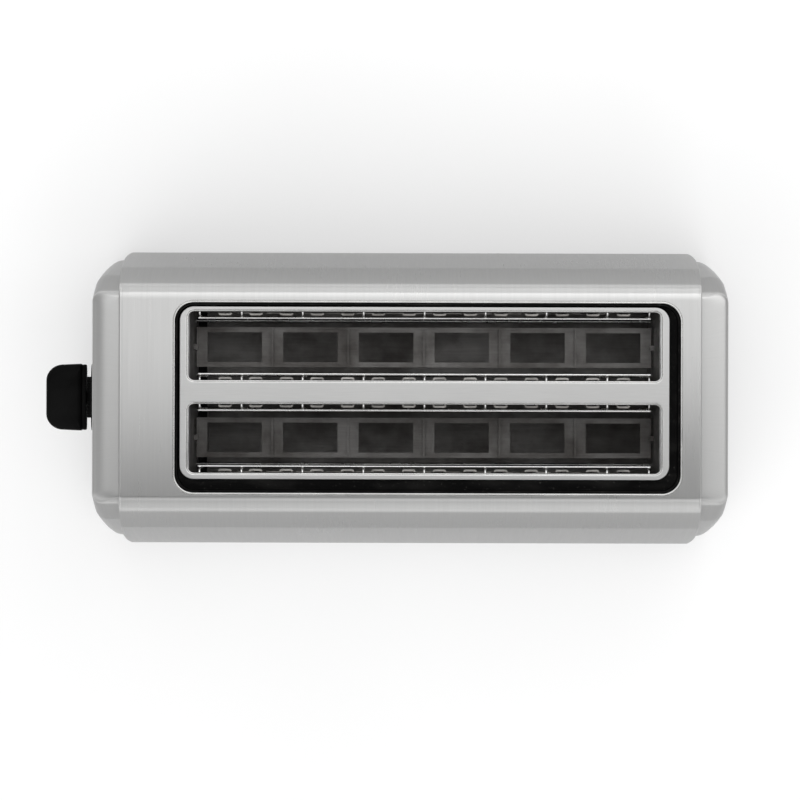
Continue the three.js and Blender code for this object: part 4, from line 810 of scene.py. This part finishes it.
class MakeSlotPlate(bpy.types.Operator):
    """Slot plate with a rolled outer edge and a beaded, folded edge round each slot"""

    bl_idname = "toaster.make_slot_plate"
    bl_label = "Slot plate"
    steps = (36, 14)
    corner_steps = 10

    def execute(self, context):
        s = context.scene.toaster_slots
        x, level, roll = PLATE.middle[0], PLATE.high[2], s.plate_roll
        corner = s.plate_corner - roll
        r, hem, foot = s.slot_roll, s.slot_hem, level - s.slot_fold
        fold = quarter((r, level - r), r, 90, 180, 6) + [(0, (level + foot) / 2), (0, foot + 2.2 * hem)]
        fold += quarter((-hem, foot + hem), hem, 60, 270, 7)
        shell, edges = Shell(), []
        for side, y0, y1, radii in (
            (1, s.slots_y, PLATE.high[1] - roll, (corner, corner, 0, 0)),
            (-1, PLATE.low[1] + roll, s.slots_y, (0, 0, corner, corner)),
        ):
            half = (PLATE.half[0] - roll, (y1 - y0) / 2)
            loop, out = outline((x, (y0 + y1) / 2), half, radii, self.steps, self.corner_steps)
            centre, half = (x, s.slots_y + side * s.slot_offset), (s.slot_half_length, s.slot_half_width)
            slot, slot_out = outline(centre, half, s.slot_corner, self.steps, self.corner_steps)
            rim = raised(slot + slot_out * r, level)
            flat = closed(between(raised(loop, level), rim, (0, 0.15, 0.5, 0.85, 1)))
            shell.add(flat, flat[..., :2])
            shell.add(closed(swept(slot, slot_out, fold)), finish=1)
            edges.append(self.outer_part(loop, out, side > 0))
        edge, out = (np.concatenate(parts) for parts in zip(*edges))
        profile = quarter((0, level - roll), roll, 90, 0, 6) + [(roll, PLATE.middle[2]), (roll, PLATE.low[2])]
        shell.add(closed(swept(edge, out, profile)))
        inside, sheet = (x, s.slots_y, level - 0.02), context.scene.toaster_housing.sheet
        shell.make("plate", "housing", ("plate_steel", "edge_steel"), inside, sheet, 50, replaces=("slot_plate",))
        return {"FINISHED"}

    def outer_part(self, loop, out, rear):
        """The part of a half plate's loop on the plate's outer edge, from one end of the middle line to the other."""
        (nx, ny), cs = self.steps, self.corner_steps
        first, second, last = cs + nx, 2 * cs + nx + ny, 3 * cs + 2 * nx + ny  # where the corners start
        if rear:
            index = np.concatenate([np.arange(last + cs, len(loop)), np.arange(0, second)])
        else:
            index = np.arange(first + cs, min(last + cs + ny, len(loop)))
        normals = out[index].copy()
        normals[0] = (1, 0) if rear else (-1, 0)
        return loop[index], normals


class MakeGuards(bpy.types.Operator):
    """Bread guards: hinge wire, top rail, and upright wires whose tips bend away from the bread in an arc"""

    bl_idname = "toaster.make_guards"
    bl_label = "Bread guards"

    def execute(self, context):
        s = context.scene.toaster_slots
        left = Span("chassis_end_plate_left").high[0] + s.end_gap
        right = Span("chassis_end_plate_right").low[0] - s.end_gap
        uprights = np.concatenate([[left], PLATE.middle[0] + s.wire_pitch * np.arange(-3, 4), [right]])
        turn = np.radians(np.linspace(0, 84, 8))
        for place in PLACES:
            guard = Span("bread_guard_" + place)
            low, high = guard.low, guard.high
            outward = -1 if place.endswith("fore") else 1
            wire_y = low[1] + s.hinge_radius if outward > 0 else high[1] - s.hinge_radius
            hinge, rail = low[2] + s.hinge_radius, high[2] - s.tip_rise - s.wire_radius
            shell = Shell()
            for x0, x1, z, radius in (
                (low[0], high[0], hinge, s.hinge_radius),
                (left - 0.001, right + 0.001, rail, s.rail_radius),
            ):
                shell.tube(joined(np.linspace(x0, x1, 5), wire_y, z)[None], radius, 12)
            back = (s.rail_radius + s.wire_radius) * 0.8
            y = wire_y + outward * (back + s.tip_flare * np.concatenate([[0, 0, 0], 1 - np.cos(turn)]))
            tip = rail + s.tip_rise - s.tip_flare
            z = np.concatenate([[hinge, (hinge + rail) / 2, rail], tip + s.tip_flare * np.sin(turn)])
            shell.tube(joined(uprights[:, None], y, z), s.wire_radius, 10)
            name = f"bread_guard_{place}"
            shell.make(name + "_wire", "guard_" + place, ("wire_steel",), replaces=(name,))
        return {"FINISHED"}


class MakeRibbons(bpy.types.Operator):
    """Heating ribbons: one flat strip that runs up and down each board, with short loops at the top"""

    bl_idname = "toaster.make_ribbons"
    bl_label = "Heating ribbons"

    def execute(self, context):
        s = context.scene.toaster_slots
        for place in PLACES:
            name = "heating_ribbon_" + place
            board = Span(name)
            path = self.zigzag(s, board)
            way = np.gradient(path, axis=0)
            way /= np.maximum(np.linalg.norm(way, axis=1, keepdims=True), 1e-9)
            normal = joined(-way[:, 1], way[:, 0]) * s.ribbon_width / 2
            upper, lower, half = path + normal, path - normal, board.half[1]
            inward = 1 if place.endswith("fore") else -1
            ring = [(upper, -half), (lower, -half), (lower, half), (upper, half), (upper, -half)]
            rows = np.stack([self.folded(s, edge, depth, board, inward) for edge, depth in ring])
            first, last = (np.broadcast_to(end.mean(0), end.shape) for end in (rows[:, :1], rows[:, -1:]))
            rows = np.concatenate([first, rows, last], 1)
            Shell().add(rows).make(name + "_strip", "housing", ("ribbon",), replaces=(name,))
        return {"FINISHED"}

    def zigzag(self, s, board):
        """Line (x, z) up, across and down each loop, and across to the next, with quarter circles at the corners."""
        low, high = board.low, board.high
        count = int((high[0] - low[0]) // s.ribbon_pitch)
        middles = board.middle[0] + s.ribbon_pitch * (np.arange(count) - (count - 1) / 2)
        x0, x1 = (middles[:, None] + side * s.ribbon_loop / 2 for side in (-1, 1))
        z0, z1 = low[2] + s.ribbon_width / 2, high[2] + s.ribbon_level
        turn, r = np.linspace(0, np.pi / 2, 4), s.ribbon_width * 0.75
        early, late = r * (1 - np.cos(turn)), r * (1 - np.sin(turn))
        corners = [(x0 + early, z1 - late), (x1 - late, z1 - early), (x1 + early, z0 + late)]
        corners.append((np.roll(x0, -1) - late, z0 + early))
        path = np.concatenate([joined(x, z) for x, z in corners], 1).reshape(-1, 2)[: -2 * len(turn)]
        return np.concatenate([[[x0[0, 0], z0]], path, [[x1[-1, 0], z0]]])

    def folded(self, s, strip, depth, board, inward):
        """Bends a strip over the board's edge: upright up to the board's height, then a quarter circle, then level
        towards the bread. The depth is a place in its thickness."""
        r, height = s.ribbon_fold, board.high[2]
        run = strip[:, 1] - height + r
        turn = np.clip(run / r, 0, np.pi / 2)
        away = r * (1 - np.cos(turn)) + np.maximum(run - r * np.pi / 2, 0) + depth * np.cos(turn)
        z = height - r + np.minimum(run, 0) + (r - depth) * np.sin(turn)
        return joined(strip[:, 0], board.middle[1] + inward * away, z)


class MakeLever(bpy.types.Operator):
    """Lever knob and the collar at its back"""

    bl_idname = "toaster.make_lever"
    bl_label = "Lever"

    def execute(self, context):
        s = context.scene.toaster_controls
        self.make_knob(s)
        self.make_collar(s)
        return {"FINISHED"}

    def make_knob(self, s):
        """A side with round edges, a flat underside, and a top that rises to its middle as a parabola."""
        loop, out = self.knob_outline(s)
        low, high, r, crown = KNOB.low[2], KNOB.high[2], s.knob_edge, s.knob_crown
        profile = quarter((-r, low + r), r, -90, 0, 8) + [(0, KNOB.middle[2] - crown / 2)]
        profile += quarter((-r, high - crown - r), r, 0, 90, 8)
        flat = loop - r * out
        parts = np.array([0.2, 0.45, 0.7, 0.88, 1.0])
        under = between(raised(flat, low), (*KNOB.middle[:2], low), (1.0, 0.5, 0.15))
        over = between(raised(flat, high), (*KNOB.middle[:2], high), parts)
        over[..., 2] = (high - crown * (1 - parts) ** 2)[:, None]
        shell = Shell().add(closed(np.concatenate([under, swept(loop, out, profile), over])))
        shell.make("knob", "lift_carriage", ("knob_black",), sharp=60, replaces=("lever_knob",))

    def knob_outline(self, s):
        """Top outline of the knob: rounded corners at the front and back, narrower towards the front."""
        radii = (s.knob_back_corner, s.knob_corner, s.knob_corner, s.knob_back_corner)
        loop, out = outline(KNOB.middle[:2], KNOB.half[:2], radii, (12, 24), 10)
        taper = (KNOB.half[1] - s.knob_front_half) / (2 * KNOB.half[0])
        x, y = loop[:, 0], loop[:, 1]
        return joined(x, y - taper * (KNOB.high[0] - x) * y / KNOB.half[1]), out

    def make_collar(self, s):
        """A rounded block, closed by rows drawn in to the middle of each end."""
        (x0, _, _), (x1, _, _), r = COLLAR.low, COLLAR.high, s.collar_edge
        centre, half = COLLAR.middle[1:], (KNOB.half[1] - s.collar_inset, COLLAR.half[2])
        loop, out = outline(centre, half, min(half[1], s.knob_corner) * 0.6, (20, 8), 8)
        profile = [(-r, x0), (0, x0 + r), (0, x1 - r), (-0.3 * r, x1 - 0.3 * r), (-r, x1)]
        side = swept(loop, out, profile, facing_left)
        front = between(side[0], (x0, *centre), (1.0, 0.4))
        back = between(side[-1], (x1, *centre), (0.4, 1.0))
        shell = Shell().add(closed(np.concatenate([front, side, back])))
        shell.make("collar", "lift_carriage", ("knob_black",), replaces=("lever_knob_collar",))


class MakePanel(bpy.types.Operator):
    """Control panel with its lever slot, button frames and printed marks"""

    bl_idname = "toaster.make_panel"
    bl_label = "Control panel"

    def execute(self, context):
        s = context.scene.toaster_controls
        self.make_plate(s)
        self.make_frames(s)
        turns = np.radians(np.linspace(225, -45, 7))  # of the ticks and numbers round the dial
        ink = PANEL.low[0] - 0.00003
        self.make_marks(s, ink, turns)
        self.make_numbers(s, ink, turns)
        return {"FINISHED"}

    def make_plate(self, s):
        """A plate with a round edge. A shallow bead and a groove lead into the lever's slot."""
        face, back, r = PANEL.low[0], PANEL.high[0], s.panel_edge
        steps, corner_steps = (14, 50), 10
        edge, out = outline(PANEL.middle[1:], PANEL.half[1:], s.panel_corner, steps, corner_steps)
        slot_middle = (s.lever_slot_low + s.lever_slot_high) / 2
        slot_half = (s.lever_slot_half, (s.lever_slot_high - s.lever_slot_low) / 2)
        slot, slot_out = outline((0, slot_middle), slot_half, s.lever_slot_half * 0.8, steps, corner_steps)
        margin = 0.0016  # from the slot to where its bead starts
        rim = [(0, back)] + [(d, face + r - x) for d, x in quarter((-r, 0), r, 0, 90, 5)]
        rows = [swept(edge, out, rim, facing_left)]
        inner = facing_left(slot + slot_out * margin, face)
        rows.append(between(facing_left(edge - r * out, face), inner, (0.05, 0.3, 0.6, 0.95, 1)))
        bead = ((0.0014, -0.0002), (0.0009, -0.0004), (0.0004, -0.0003), (0, 0.0004), (0, 0.0012))
        rows.append(swept(slot, slot_out, [(d, face + x) for d, x in bead] + [(0, back)], facing_left))
        rows.append(swept(edge, out, [(0, back)], facing_left))
        shell = Shell().add(closed(np.concatenate(rows)))
        shell.make("panel", "housing", ("panel_black",), sharp=40, replaces=("control_panel",))

    def make_frames(self, s):
        """A raised frame round each button: a half round bead along a rounded rectangle."""
        face, r, sunk, room = PANEL.low[0], s.frame_bead, 0.0003, 0.0004
        shell = Shell()
        for name in BUTTONS:
            half = (s.button_half_width + room, s.button_half_height + room)
            loop, out = outline(Span(name + "_button").middle[1:], half, s.button_corner + room, (8, 6), 6)
            profile = [(0, -sunk), *quarter((r, 0), r, 180, 0, 6), (2 * r, -sunk), (0, -sunk)]
            shell.add(closed(swept(loop, out, [(d, face - h) for d, h in profile], facing_left)))
        shell.make("button_frames", "housing", ("knob_black",), slot="panel_black")

    def make_marks(self, s, ink, turns):
        """Printed marks: an arc of ticks round the dial, and a short line over each button."""
        tick, line, over = 0.00025, 0.0005, 0.0024
        shell = Shell()
        for way in facing(turns):
            side = tick * np.array([-way[1], way[0]])
            flat = np.array([[reach * way - side, reach * way + side] for reach in (s.tick_near, s.tick_far)])
            shell.add(facing_left(flat * (-1, 1) + DIAL.middle[1:], ink))
        for name, length in zip(BUTTONS, (0.002, 0.0035, 0.0035)):
            key = Span(name + "_button")
            flat = joined(*np.meshgrid((-length / 2, length / 2), (over, over + line)))
            shell.add(facing_left(flat + (key.middle[1], key.high[2]), ink))
        shell.make("panel_marks", "housing", ("print_white",), (0, 0, 0.1), slot="panel_black", loose=True)

    def make_numbers(self, s, ink, turns):
        """Numbers round the dial, from 1 at its lower left to 7 at its lower right, as seen from the left end."""
        work = bmesh.new()
        for number, way in enumerate(facing(turns), 1):
            letters = bpy.data.curves.new("number", "FONT")
            letters.body, letters.size = str(number), s.number_height
            letters.align_x = letters.align_y = "CENTER"
            writing = placed("number", letters)
            bpy.context.view_layer.update()
            flat = bpy.data.meshes.new_from_object(writing)
            flat.uv_layers.remove(flat.uv_layers[0])
            y, z = DIAL.middle[1:] + s.number_reach * way * (-1, 1)
            flat.transform(Matrix(((0, 0, -1, ink + MIDDLE), (-1, 0, 0, y), (0, 1, 0, z), (0, 0, 0, 1))))
            work.from_mesh(flat)
            bpy.data.objects.remove(writing)
            bpy.data.curves.remove(letters)
            bpy.data.meshes.remove(flat)
        mesh = bpy.data.meshes.new("dial_numbers")
        work.to_mesh(mesh)
        work.free()
        settle("dial_numbers", mesh, "housing", ("print_white",))


class MakeButtons(bpy.types.Operator):
    """Push buttons with dished faces and round edges"""

    bl_idname = "toaster.make_buttons"
    bl_label = "Buttons"

    def execute(self, context):
        s = context.scene.toaster_controls
        for name in BUTTONS:
            key = Span(name + "_button")
            front, back, centre, r = key.low[0], key.high[0], key.middle[1:], s.button_edge
            loop, out = outline(centre, (s.button_half_width, s.button_half_height), s.button_corner, (8, 6), 8)
            side = swept(loop, out, quarter((-r, front + r), r, -90, 0, 5), facing_left)
            parts = np.array([1.0, 0.75, 0.5, 0.25])
            face = between(side[0], (front, *centre), parts)
            face[..., 0] += s.button_dish * np.sin(parts * np.pi / 2)[:, None]
            end = between(facing_left(loop, back), (back, *centre), (0, 0.4, 1))
            shell = Shell().add(closed(np.concatenate([face, side, end])))
            shell.make(name + "_key", name + "_key", ("knob_black",), replaces=(name + "_button",))
        return {"FINISHED"}


class MakeDial(bpy.types.Operator):
    """Browning dial: skirt, fluted grip with a dished face, and a white pointer"""

    bl_idname = "toaster.make_dial"
    bl_label = "Browning dial"

    def execute(self, context):
        """The profile holds radius, reach out of the panel, and how much of the flutes shows there. The flutes cut
        into the radius as a raised cosine."""
        s = context.scene.toaster_controls
        back, z = DIAL.high[0], DIAL.middle[2]
        turn = np.linspace(0, 2 * np.pi, s.dial_flutes * 8 + 1)
        r, edge, proud = 0.0012, 0.001, 0.0004  # rounding of grip and skirt, and the pointer above the face
        skirt, grip, depth = s.dial_skirt_radius, s.dial_grip_radius - 0.0008, s.dial_skirt_depth
        end = depth + s.dial_grip_depth - proud
        profile = [(0, 0, 0), (skirt * 0.6, 0, 0), (skirt - 0.0003, 0, 0)]
        profile += [(skirt, 0.0003, 0), (skirt, depth - edge, 0)]
        profile += [(a, b, 0) for a, b in quarter((skirt - edge, depth - edge), edge, 15, 90, 4)]
        profile += [(grip + r, depth, 0), (grip + 0.0004, depth + 0.0002, 0), (grip, depth + r, 0.6)]
        profile += [(grip, depth + 0.003, 1), (grip, end - r - 0.001, 1), (grip, end - r, 0.8)]
        profile += [(a, b, 0.5 - 0.1 * i) for i, (a, b) in enumerate(quarter((grip - r, end - r), r, 15, 90, 5))]
        profile += [(grip - 0.003, end - 0.0005, 0), (grip * 0.5, end - 0.0009, 0), (0, end - 0.001, 0)]
        radius, reach, flute = np.array(profile).T[..., None]
        ring = radius - flute * s.dial_flute * 0.5 * (1 - np.cos(s.dial_flutes * turn))
        shell = Shell().add(joined(back - reach, ring * np.cos(turn), z + ring * np.sin(turn)))
        half, low, high, front = 0.0008, z + grip * 0.30, z + grip - r, back - end - proud
        bar = np.array([(-half, low), (half, low), (half, high), (-half, high)])
        levels = ((1, back - end + 0.0012), (1, front + 0.0002), (0.8, front))
        rows = np.stack([facing_left(bar * (share, 1), x) for share, x in levels])
        ends = [between(rows[k], rows[k].mean(0), (1,)) for k in (0, -1)]
        shell.add(closed(np.concatenate([ends[0], rows, ends[1]])), finish=1)
        finishes = ("knob_black", "print_white")
        shell.make("dial", "browning_control", finishes, sharp=45, replaces=("browning_dial",))
        return {"FINISHED"}


class MakeFeet(bpy.types.Operator):
    """Rubber feet, turned, with a round lower edge"""

    bl_idname = "toaster.make_feet"
    bl_label = "Feet"

    def execute(self, context):
        turn = np.linspace(0, 2 * np.pi, 41)
        shelf, edge, hollow, stem = 0.006, 0.0016, 0.0006, 0.003
        for place in ("front_left", "front_right", "rear_left", "rear_right"):
            foot = Span("foot_" + place)
            (x, y, _), (radius, _, _), top = foot.middle, foot.half, foot.high[2]
            profile = [(0, hollow), (radius * 0.55, hollow), (radius * 0.6, 0), (radius - edge, 0)]
            profile += quarter((radius - edge, edge), edge, -75, 0, 6)
            profile += [(radius, shelf - 0.0004), (radius - 0.0004, shelf), (stem, shelf), (stem, top), (0, top)]
            reach, z = np.array(profile).T[..., None]
            shell = Shell().add(joined(x + reach * np.cos(turn), y + reach * np.sin(turn), z))
            shell.make("pad_" + place, "housing", ("rubber_black",), replaces=("foot_" + place,))
        return {"FINISHED"}


class MakeSkirt(bpy.types.Operator):
    """Skin round the walls of the base, open where the crumb tray slides out"""

    bl_idname = "toaster.make_skirt"
    bl_label = "Base skirt"

    def execute(self, context):
        s = context.scene.toaster_housing
        base = Span("base")
        loop, out = outline((0, 0), base.half[:2], s.cap_corner_low - s.sheet, (40, 40), 14)
        gap = Span("crumb_tray").high[1] + 0.0006
        at_end = loop[:, 0] > base.half[0] - 1e-5
        start = np.argmax(at_end & (loop[:, 1] > gap))
        order = np.roll(np.arange(len(loop)), -start)
        order = order[~(at_end & (np.abs(loop[:, 1]) < gap))[order]]
        proud, low, turned, edge, height = 0.00018, base.low[2], 0.0001, 0.0009, 0.0185
        profile = [(-0.0014, low - turned), (-edge, low - turned)]
        profile += quarter((proud - edge, low + 0.0008), edge, -80, 0, 5)
        profile += [(proud, low + 0.009), (proud, low + height), (-0.0002, low + height)]
        shell = Shell().add(swept(loop[order], out[order], profile))
        shell.make("skirt", "housing", ("base_black",), (0, 0, 0.012), sharp=50)
        return {"FINISHED"}


class MakeHandle(bpy.types.Operator):
    """Handle of the crumb tray, rounded, with a finger groove along its front"""

    bl_idname = "toaster.make_handle"
    bl_label = "Tray handle"

    def execute(self, context):
        """The groove's rows hold their depth, and their shares of the handle's length and height."""
        grip = Span("crumb_tray_handle")
        back, front, centre = grip.low[0], grip.high[0], grip.middle[1:]
        corner, r = 0.0026, 0.0016
        loop, out = outline(centre, grip.half[1:], corner, (40, 8), 8)
        profile = [(0, back)] + quarter((-r, front - r), r, 0, 90, 6)
        groove = ((0, 0.93, 0.42), (0.0007, 0.91605, 0.42), (0.00075, 0.93, 0.21), (0.0008, 0.9021, 0))
        rows = [facing_left(centre + (loop - centre) * (long, tall), front - deep) for deep, long, tall in groove]
        side = swept(loop, out, profile, facing_left)
        shell = Shell().add(closed(np.concatenate([between(side[0], (back, *centre), (1,)), side, rows])))
        shell.make("tray_grip", "tray", ("base_black",), sharp=40, replaces=("crumb_tray_handle",))
        return {"FINISHED"}


# tone of the dome by the height of the direction, and shares of it by how far the direction points along the slots
# and across them
HEIGHT = ((0.0, 0.80), (0.30, 0.76), (0.62, 0.66), (0.90, 0.34), (1.0, 0.10))
ALONG = (
    ((-1.0, 0.55), (-0.7, 0.8), (-0.3, 1.3), (-0.1, 0.85), (0.0, 0.9))
    + ((0.11, 2.6), (0.3, 1.4), (0.6, 1.1), (1.0, 0.55))
)
ACROSS = ((-1.0, 0.85), (-0.7, 0.9), (-0.28, 2.2), (-0.1, 1.2), (0.0, 1.0), (0.5, 1.0), (0.85, 1.05), (1.0, 1.0))
MOST = 4.0  # a ramp holds no tone over 1, so it holds the tones divided by this
BACKGROUND_SHARE = 0.5  # of the floor's own tone, beside what the lamps give it


class MakeStudio(bpy.types.Operator):
    """Pale floor, soft light and the camera"""

    bl_idname = "toaster.make_studio"
    bl_label = "Studio"

    def execute(self, context):
        s = context.scene.toaster_studio
        self.make_floor(s)
        self.make_world(context)
        front = self.make_lamp("front", (-0.2, -1.7, 3.2), (0, 0, 0.05), (3.6, 2.4), 78.0)
        front.visible_glossy = False
        self.make_lamp("overhead", (0.23, 0.39, 0.85), (0.23, 0.39, 0), (1.3, 0.8), 3.2, math.radians(3))
        self.make_camera(context, s)
        context.scene.view_settings.view_transform = "Standard"
        return {"FINISHED"}

    def make_floor(self, s):
        """A disc just under the feet. Seen by the camera or in a reflection, it also shows a share of its own tone."""
        turn = np.linspace(0, 2 * np.pi, 97)
        radii = np.array([[0], [0.6], [2.5], [s.floor_radius]])
        disc = joined(radii * np.cos(turn), radii * np.sin(turn), -0.0001)
        mesh = Shell().add(disc).mesh("floor", (0, 0, -1), middle=0)
        r = Recipe(bpy.data.materials.new("floor"))
        tint = r.mix(r.spread(r.noise(3), 0.3, 0.7), (0.90, 0.90, 0.90), (0.93, 0.93, 0.93))
        r.set(Base_Color=tint, Roughness=0.9, Specular_IOR_Level=0.1)
        rays = r.add("LightPath").outputs
        seen = r.sum(rays["Is Camera Ray"], rays["Is Glossy Ray"], "MAXIMUM")
        seen = r.sum(seen, rays["Is Transmission Ray"], "MAXIMUM")
        glow = r.add("Emission", {"Color": tint, "Strength": 1.0}).outputs[0]
        blend = r.add("MixShader", {0: r.times(seen, BACKGROUND_SHARE), 1: r.shader.outputs[0], 2: glow})
        r.put(r.tree.nodes["Material Output"].inputs[0], blend.outputs[0])
        mesh.materials.append(r.owner)
        placed("floor", mesh)

    def make_world(self, context):
        """Soft dome: its tone follows the height of the direction, times a share by where it points level."""
        context.scene.world = bpy.data.worlds.new("studio")
        r = Recipe(context.scene.world)
        way = r.add("SeparateXYZ", {0: r.charts["Generated"]}).outputs
        tone = r.times(self.graded(r, way["Z"], HEIGHT), self.graded(r, way["X"], ALONG))
        r.put(r.tree.nodes["Background"].inputs[0], r.times(tone, self.graded(r, way["Y"], ACROSS)))

    def graded(self, r, value, stops):
        """A tone for each value from -1 to 1, eased between stops."""
        node = r.add("ValToRGB", {0: r.spread(value, -1.0, 1.0)})
        ramp = node.color_ramp
        ramp.interpolation = "EASE"
        ramp.elements.remove(ramp.elements[1])
        for i, (where, tone) in enumerate(stops):
            stop = ramp.elements.new((where + 1) / 2) if i else ramp.elements[0]
            stop.position = (where + 1) / 2
            stop.color = (tone / MOST, tone / MOST, tone / MOST, 1)
        return r.times(node.outputs[0], MOST)

    def make_lamp(self, name, place, target, sides, power, turn=0.0):
        """A soft box of two sides that looks at its target. The turn is about the upright, for one that looks down."""
        light = bpy.data.lights.new(name, "AREA")
        light.shape = "RECTANGLE"
        light.size, light.size_y = sides
        light.energy = power
        lamp = placed(name, light)
        lamp.location = place
        x, y, z = np.array(target, float) - place
        level = math.hypot(x, y)
        lamp.rotation_euler = (math.atan2(level, -z), 0, math.atan2(y, x) - math.pi / 2 if level else turn)
        return lamp

    def make_camera(self, context, s):
        view = bpy.data.cameras.new("camera")
        view.lens, view.sensor_width = s.lens, 36
        view.clip_start, view.clip_end = 0.05, 60
        camera = placed("camera", view)
        camera.location = (s.camera_x, s.camera_y, TOP + s.camera_height)
        camera.rotation_euler = (0, 0, s.roll)
        context.scene.camera = camera


GROUPS = {
    "toaster_housing": HousingSizes,
    "toaster_slots": SlotSizes,
    "toaster_controls": ControlSizes,
    "toaster_colours": FinishColours,
    "toaster_studio": StudioSizes,
}
OPERATORS = (
    (DressNodes, MakeWrap, MakeCaps, MakeTrim, MakeSlotPlate, MakeGuards, MakeRibbons, MakeLever, MakePanel)
    + (MakeButtons, MakeDial, MakeFeet, MakeSkirt, MakeHandle, MakeStudio)
)


class ToasterPanel(bpy.types.Panel):
    """Sizes and makers of the toaster"""

    bl_idname = "VIEW3D_PT_toaster"
    bl_label = "Toaster"
    bl_space_type = "VIEW_3D"
    bl_region_type = "UI"
    bl_category = "Toaster"

    def draw(self, context):
        for operator in OPERATORS:
            self.layout.operator(operator.bl_idname)
        for group, kind in GROUPS.items():
            box = self.layout.box()
            box.label(text=kind.__name__)
            for field in kind.__annotations__:
                box.prop(getattr(context.scene, group), field)


def register():
    for kind in (*GROUPS.values(), *OPERATORS, ToasterPanel):
        bpy.utils.register_class(kind)
    for group, kind in GROUPS.items():
        setattr(bpy.types.Scene, group, bpy.props.PointerProperty(type=kind))


def unregister():
    for group in GROUPS:
        delattr(bpy.types.Scene, group)
    for kind in reversed((*GROUPS.values(), *OPERATORS, ToasterPanel)):
        bpy.utils.unregister_class(kind)


def main():
    register()
    for operator in OPERATORS:
        section, name = operator.bl_idname.split(".")
        getattr(getattr(bpy.ops, section), name)()


if __name__ == "__main__":
    main()
